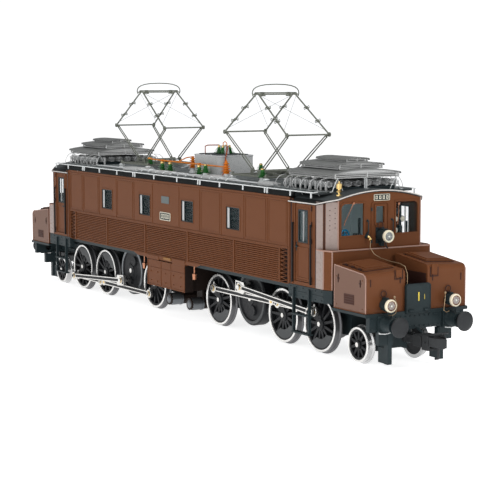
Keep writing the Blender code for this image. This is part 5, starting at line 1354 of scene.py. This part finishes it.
# ---- rods --------------------------------------------------------------------------------------
# Milled steel rods, bright on the edges, turn on brass bushes; the fluted channel is a black strip of painted
# shade. The main rod has a square strapped end on the jackshaft pin, and the coupling rod a knuckle.
for end_name, end in ENDS.items():
    for side_name, side in SIDES.items():
        body, throw = f"rods_{end_name}_{side_name}", crank(end_name, side_name)
        label = f"{end_name}_{side_name}"
        eyes = [Vector((end * x, 0, DRIVER_Z)) + throw for x in DRIVERS]
        shaft = Vector((end * SHAFT_X, 0, SHAFT_Z)) + throw
        for name, first, last, inside, outside, spots, node_name in (
            ("coupling_rod", eyes[0], eyes[2], 28.0, 30.5, eyes, "coupling_rod_" + label),
            ("main_rod", shaft, eyes[2], 31.5, 34.3, [shaft, eyes[2]], "main_rod_" + label),
        ):
            rod, flute_shade, bushes = Shape(), Shape(), Shape()
            run = (last - first).normalized()
            up = Vector((-run.z, 0, run.x))
            y0, y1 = sorted((side * (inside + 0.3), side * (outside - 0.35)))
            face = side * (outside - 0.35)
            legs = list(zip(spots, spots[1:]))
            for a, b in legs:
                line = [a + up * 1.9, b + up * 1.9, b - up * 1.9, a - up * 1.9]
                rod.bar([(spot.x, spot.z) for spot in line], "Y", y0, y1)
                for way in (1, -1):
                    lip = [a + up * way * 1.9, b + up * way * 1.9, b + up * way * 1.15, a + up * way * 1.15]
                    rod.bar([(spot.x, spot.z) for spot in lip], "Y", *sorted((face, face + side * 0.4)))
                # The flute is a black strip on the rod face, not a recess: painted shade of the milled
                # groove.
                groove = [a + run * 4.2 + up * 1.15, b - run * 4.2 + up * 1.15, b - run * 4.2 - up * 1.15,
                          a + run * 4.2 - up * 1.15]
                flute_shade.bar([(spot.x, spot.z) for spot in groove], "Y", *sorted((face, face + side * 0.15)))
            for spot in spots:
                radius = 3.8
                rod.turned([(inside, 1.7), (inside, radius), (outside - 0.3, radius),
                            (outside, radius - 0.4), (outside, 1.7)],
                           (spot.x, 0, spot.z), (0, side, 0), sides=32, ring=True)
                bushes.turned([(inside - 0.1, 1.5), (inside - 0.1, 2.4), (outside + 0.25, 2.4),
                               (outside + 0.25, 1.5)],
                              (spot.x, 0, spot.z), (0, side, 0), sides=24, ring=True)
                if name == "coupling_rod":
                    rod.rod((spot.x, side * 29.2, spot.z + 3.4), (spot.x, side * 29.2, spot.z + 5.0), 0.9,
                            0.7)
            if name == "main_rod":
                block = [shaft - run * 5.6 + up * 4.6, shaft + run * 6.4 + up * 4.6,
                         shaft + run * 8.0 + up * 2.0,
                         shaft + run * 8.0 - up * 2.0, shaft + run * 6.4 - up * 4.6,
                         shaft - run * 5.6 - up * 4.6]
                rod.bar([(spot.x, spot.z) for spot in block], "Y", y0, y1)
                strap = [shaft - run * 4.4 + up * 3.4, shaft - run * 2.9 + up * 3.4,
                         shaft - run * 2.9 - up * 3.4, shaft - run * 4.4 - up * 3.4]
                flute_shade.bar([(spot.x, spot.z) for spot in strap], "Y", *sorted((face, face + side * 0.2)))
            else:
                knuckle = eyes[1] + (eyes[0] - eyes[1]).normalized() * 8.0
                rod.turned([(inside + 0.1, 0), (inside + 0.1, 2.9), (outside, 2.9), (outside, 0)],
                           (knuckle.x, 0, knuckle.z), (0, side, 0), sides=24)
                bushes.rod((knuckle.x, side * (outside - 0.2), knuckle.z),
                           (knuckle.x, side * (outside + 0.35), knuckle.z), 1.2, sides=16)
            rod.piece(name + "_" + label + "_bar", steel, body, "bright_steel", stands_for=[node_name])
            flute_shade.piece(name + "_" + label + "_flute", spoke_black, body, "wheel_black")
            bushes.piece(name + "_" + label + "_bushes", brass, body, "brass")

# ---- pony trucks, couplings, buffers and motors ----------------------------------------------------
# Under each cab a small inside-framed truck carries the guiding wheels. The claw couplings
# and sprung buffers are chemically blackened; the motors are plated cans on steel saddles.
iron = painted("blackened_iron", (0.034, 0.036, 0.038), 0.50, metallic=0.4, mottle=0.18)
can_steel = painted("plated_can", (0.38, 0.39, 0.40), 0.34, metallic=0.8)
for end_name, end in ENDS.items():
    turn = half_turn(end)
    body = "pony_truck_" + end_name
    dressed(body, black)
    truck = Shape()
    for side in SIDES.values():
        truck.box((PONY_X - 4.2, side * 11.3, 8.6), (PONY_X + 4.2, side * 13.2, 18.8))
        truck.tube([(234.0, side * 11.9, 19.6), (241.0, side * 12.2, 20.9), (248.6, side * 12.2, 21.3),
                    (253.0, side * 12.2, 20.6)], 0.9)
        truck.rod((PONY_X, side * 12.0, 13.9), (PONY_X, side * 14.4, 13.9), 2.6, sides=20)
    truck.piece("pony_axle_boxes_" + end_name, black, body, "frame_black", at=turn, edge=0.15)
    body = "coupler_" + end_name
    claw = Shape().box((269.0, -4.0, 17.8), (292.0, 4.0, 23.2)).box((286.0, -6.6, 17.0), (294.6, 6.6, 25.0))
    claw.turned([(0, 2.4), (0, 4.2), (6.4, 4.2), (6.4, 2.4)], (272.0, 0, 17.3), (0, 0, 1), sides=24,
                ring=True)
    claw.frame([(-7.3, 15.8), (7.3, 15.8), (7.3, 26.2), (-7.3, 26.2)],
               [(-5.4, 17.4), (5.4, 17.4), (5.4, 24.8), (-5.4, 24.8)], "X", 296.2, 303.2)
    claw.box((292.0, -5.0, 17.8), (299.4, 5.0, 24.6)).box((296.0, -5.6, 19.6), (303.0, -4.2, 24.9))
    claw.bar([(302.6, -6.9), (302.6, -2.2), (307.6, -1.2), (315.8, -1.1), (313.4, -4.6), (310.2, -6.2)],
             "Z", 18.9, 25.2)
    claw.bar([(302.6, 2.2), (302.6, 5.6), (308.6, 3.9), (309.6, 2.8), (306.0, 1.6)], "Z", 18.9, 25.2)
    claw.tube([(302.0, -5.6, 25.6), (308.0, -5.4, 27.8), (311.2, -2.0, 28.4), (311.2, 3.6, 28.4),
               (306.0, 5.8, 27.2), (302.0, 6.0, 25.4)], 0.65, sides=8)
    claw.tube([(304.8, 0.0, 18.6), (305.4, 0.0, 14.0), (305.0, 0.0, 10.4), (302.0, 0.0, 9.8)], 0.9, sides=8)
    claw.rod((299.8, -8.0, 21.0), (299.8, 8.0, 21.0), 0.8, sides=8)
    claw.piece("claw_coupling_" + end_name, iron, body, "frame_black", stands_for=[body], at=turn, edge=0.15)
    for side_name, side in SIDES.items():
        body = f"buffer_{end_name}_{side_name}"
        plunger = Shape().turned([(-18.4, 0), (-18.4, 2.5), (-2.9, 2.5), (-2.4, 4.0), (-1.9, 6.5),
                                  (-1.5, 6.9), (-0.7, 6.9),
                                  (-0.3, 6.4), (-0.05, 3.4), (0, 0)], (300.0, 27.4, 32.8), (1, 0, 0),
                                  sides=40)
        plunger.piece("buffer_plunger_" + body[7:], iron, body, "frame_black", stands_for=[body],
                      at=spread(end, side))
    body = "bogie_" + end_name
    can = Shape().turned([(0, 0), (0, 3.0), (1.2, 3.0), (1.2, 13.4), (2.4, 14.4), (39.6, 14.4),
                          (40.8, 13.4), (40.8, 4.0),
                          (42, 4.0), (42, 0)], (70.0, 0, 56.0), (1, 0, 0), sides=48)
    can.rod((66.0, 0, 56.0), (116.0, 0, 56.0), 1.6).box((76.0, -9.0, 40.4), (106.0, 9.0, 47.0))
    for i in range(10):
        angle = math.tau * i / 10
        spot = Vector((0, math.cos(angle), math.sin(angle)))
        can.rod(Vector((71.1, 0, 56.0)) + spot * 9.0, Vector((72.0, 0, 56.0)) + spot * 9.0, 1.4, sides=8)
    can.piece("motor_can_" + end_name, can_steel, body, "motor_steel", stands_for=["motor_" + end_name],
              at=spread(end, 1))

# ---- size ---------------------------------------------------------------------------------------
low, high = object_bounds()
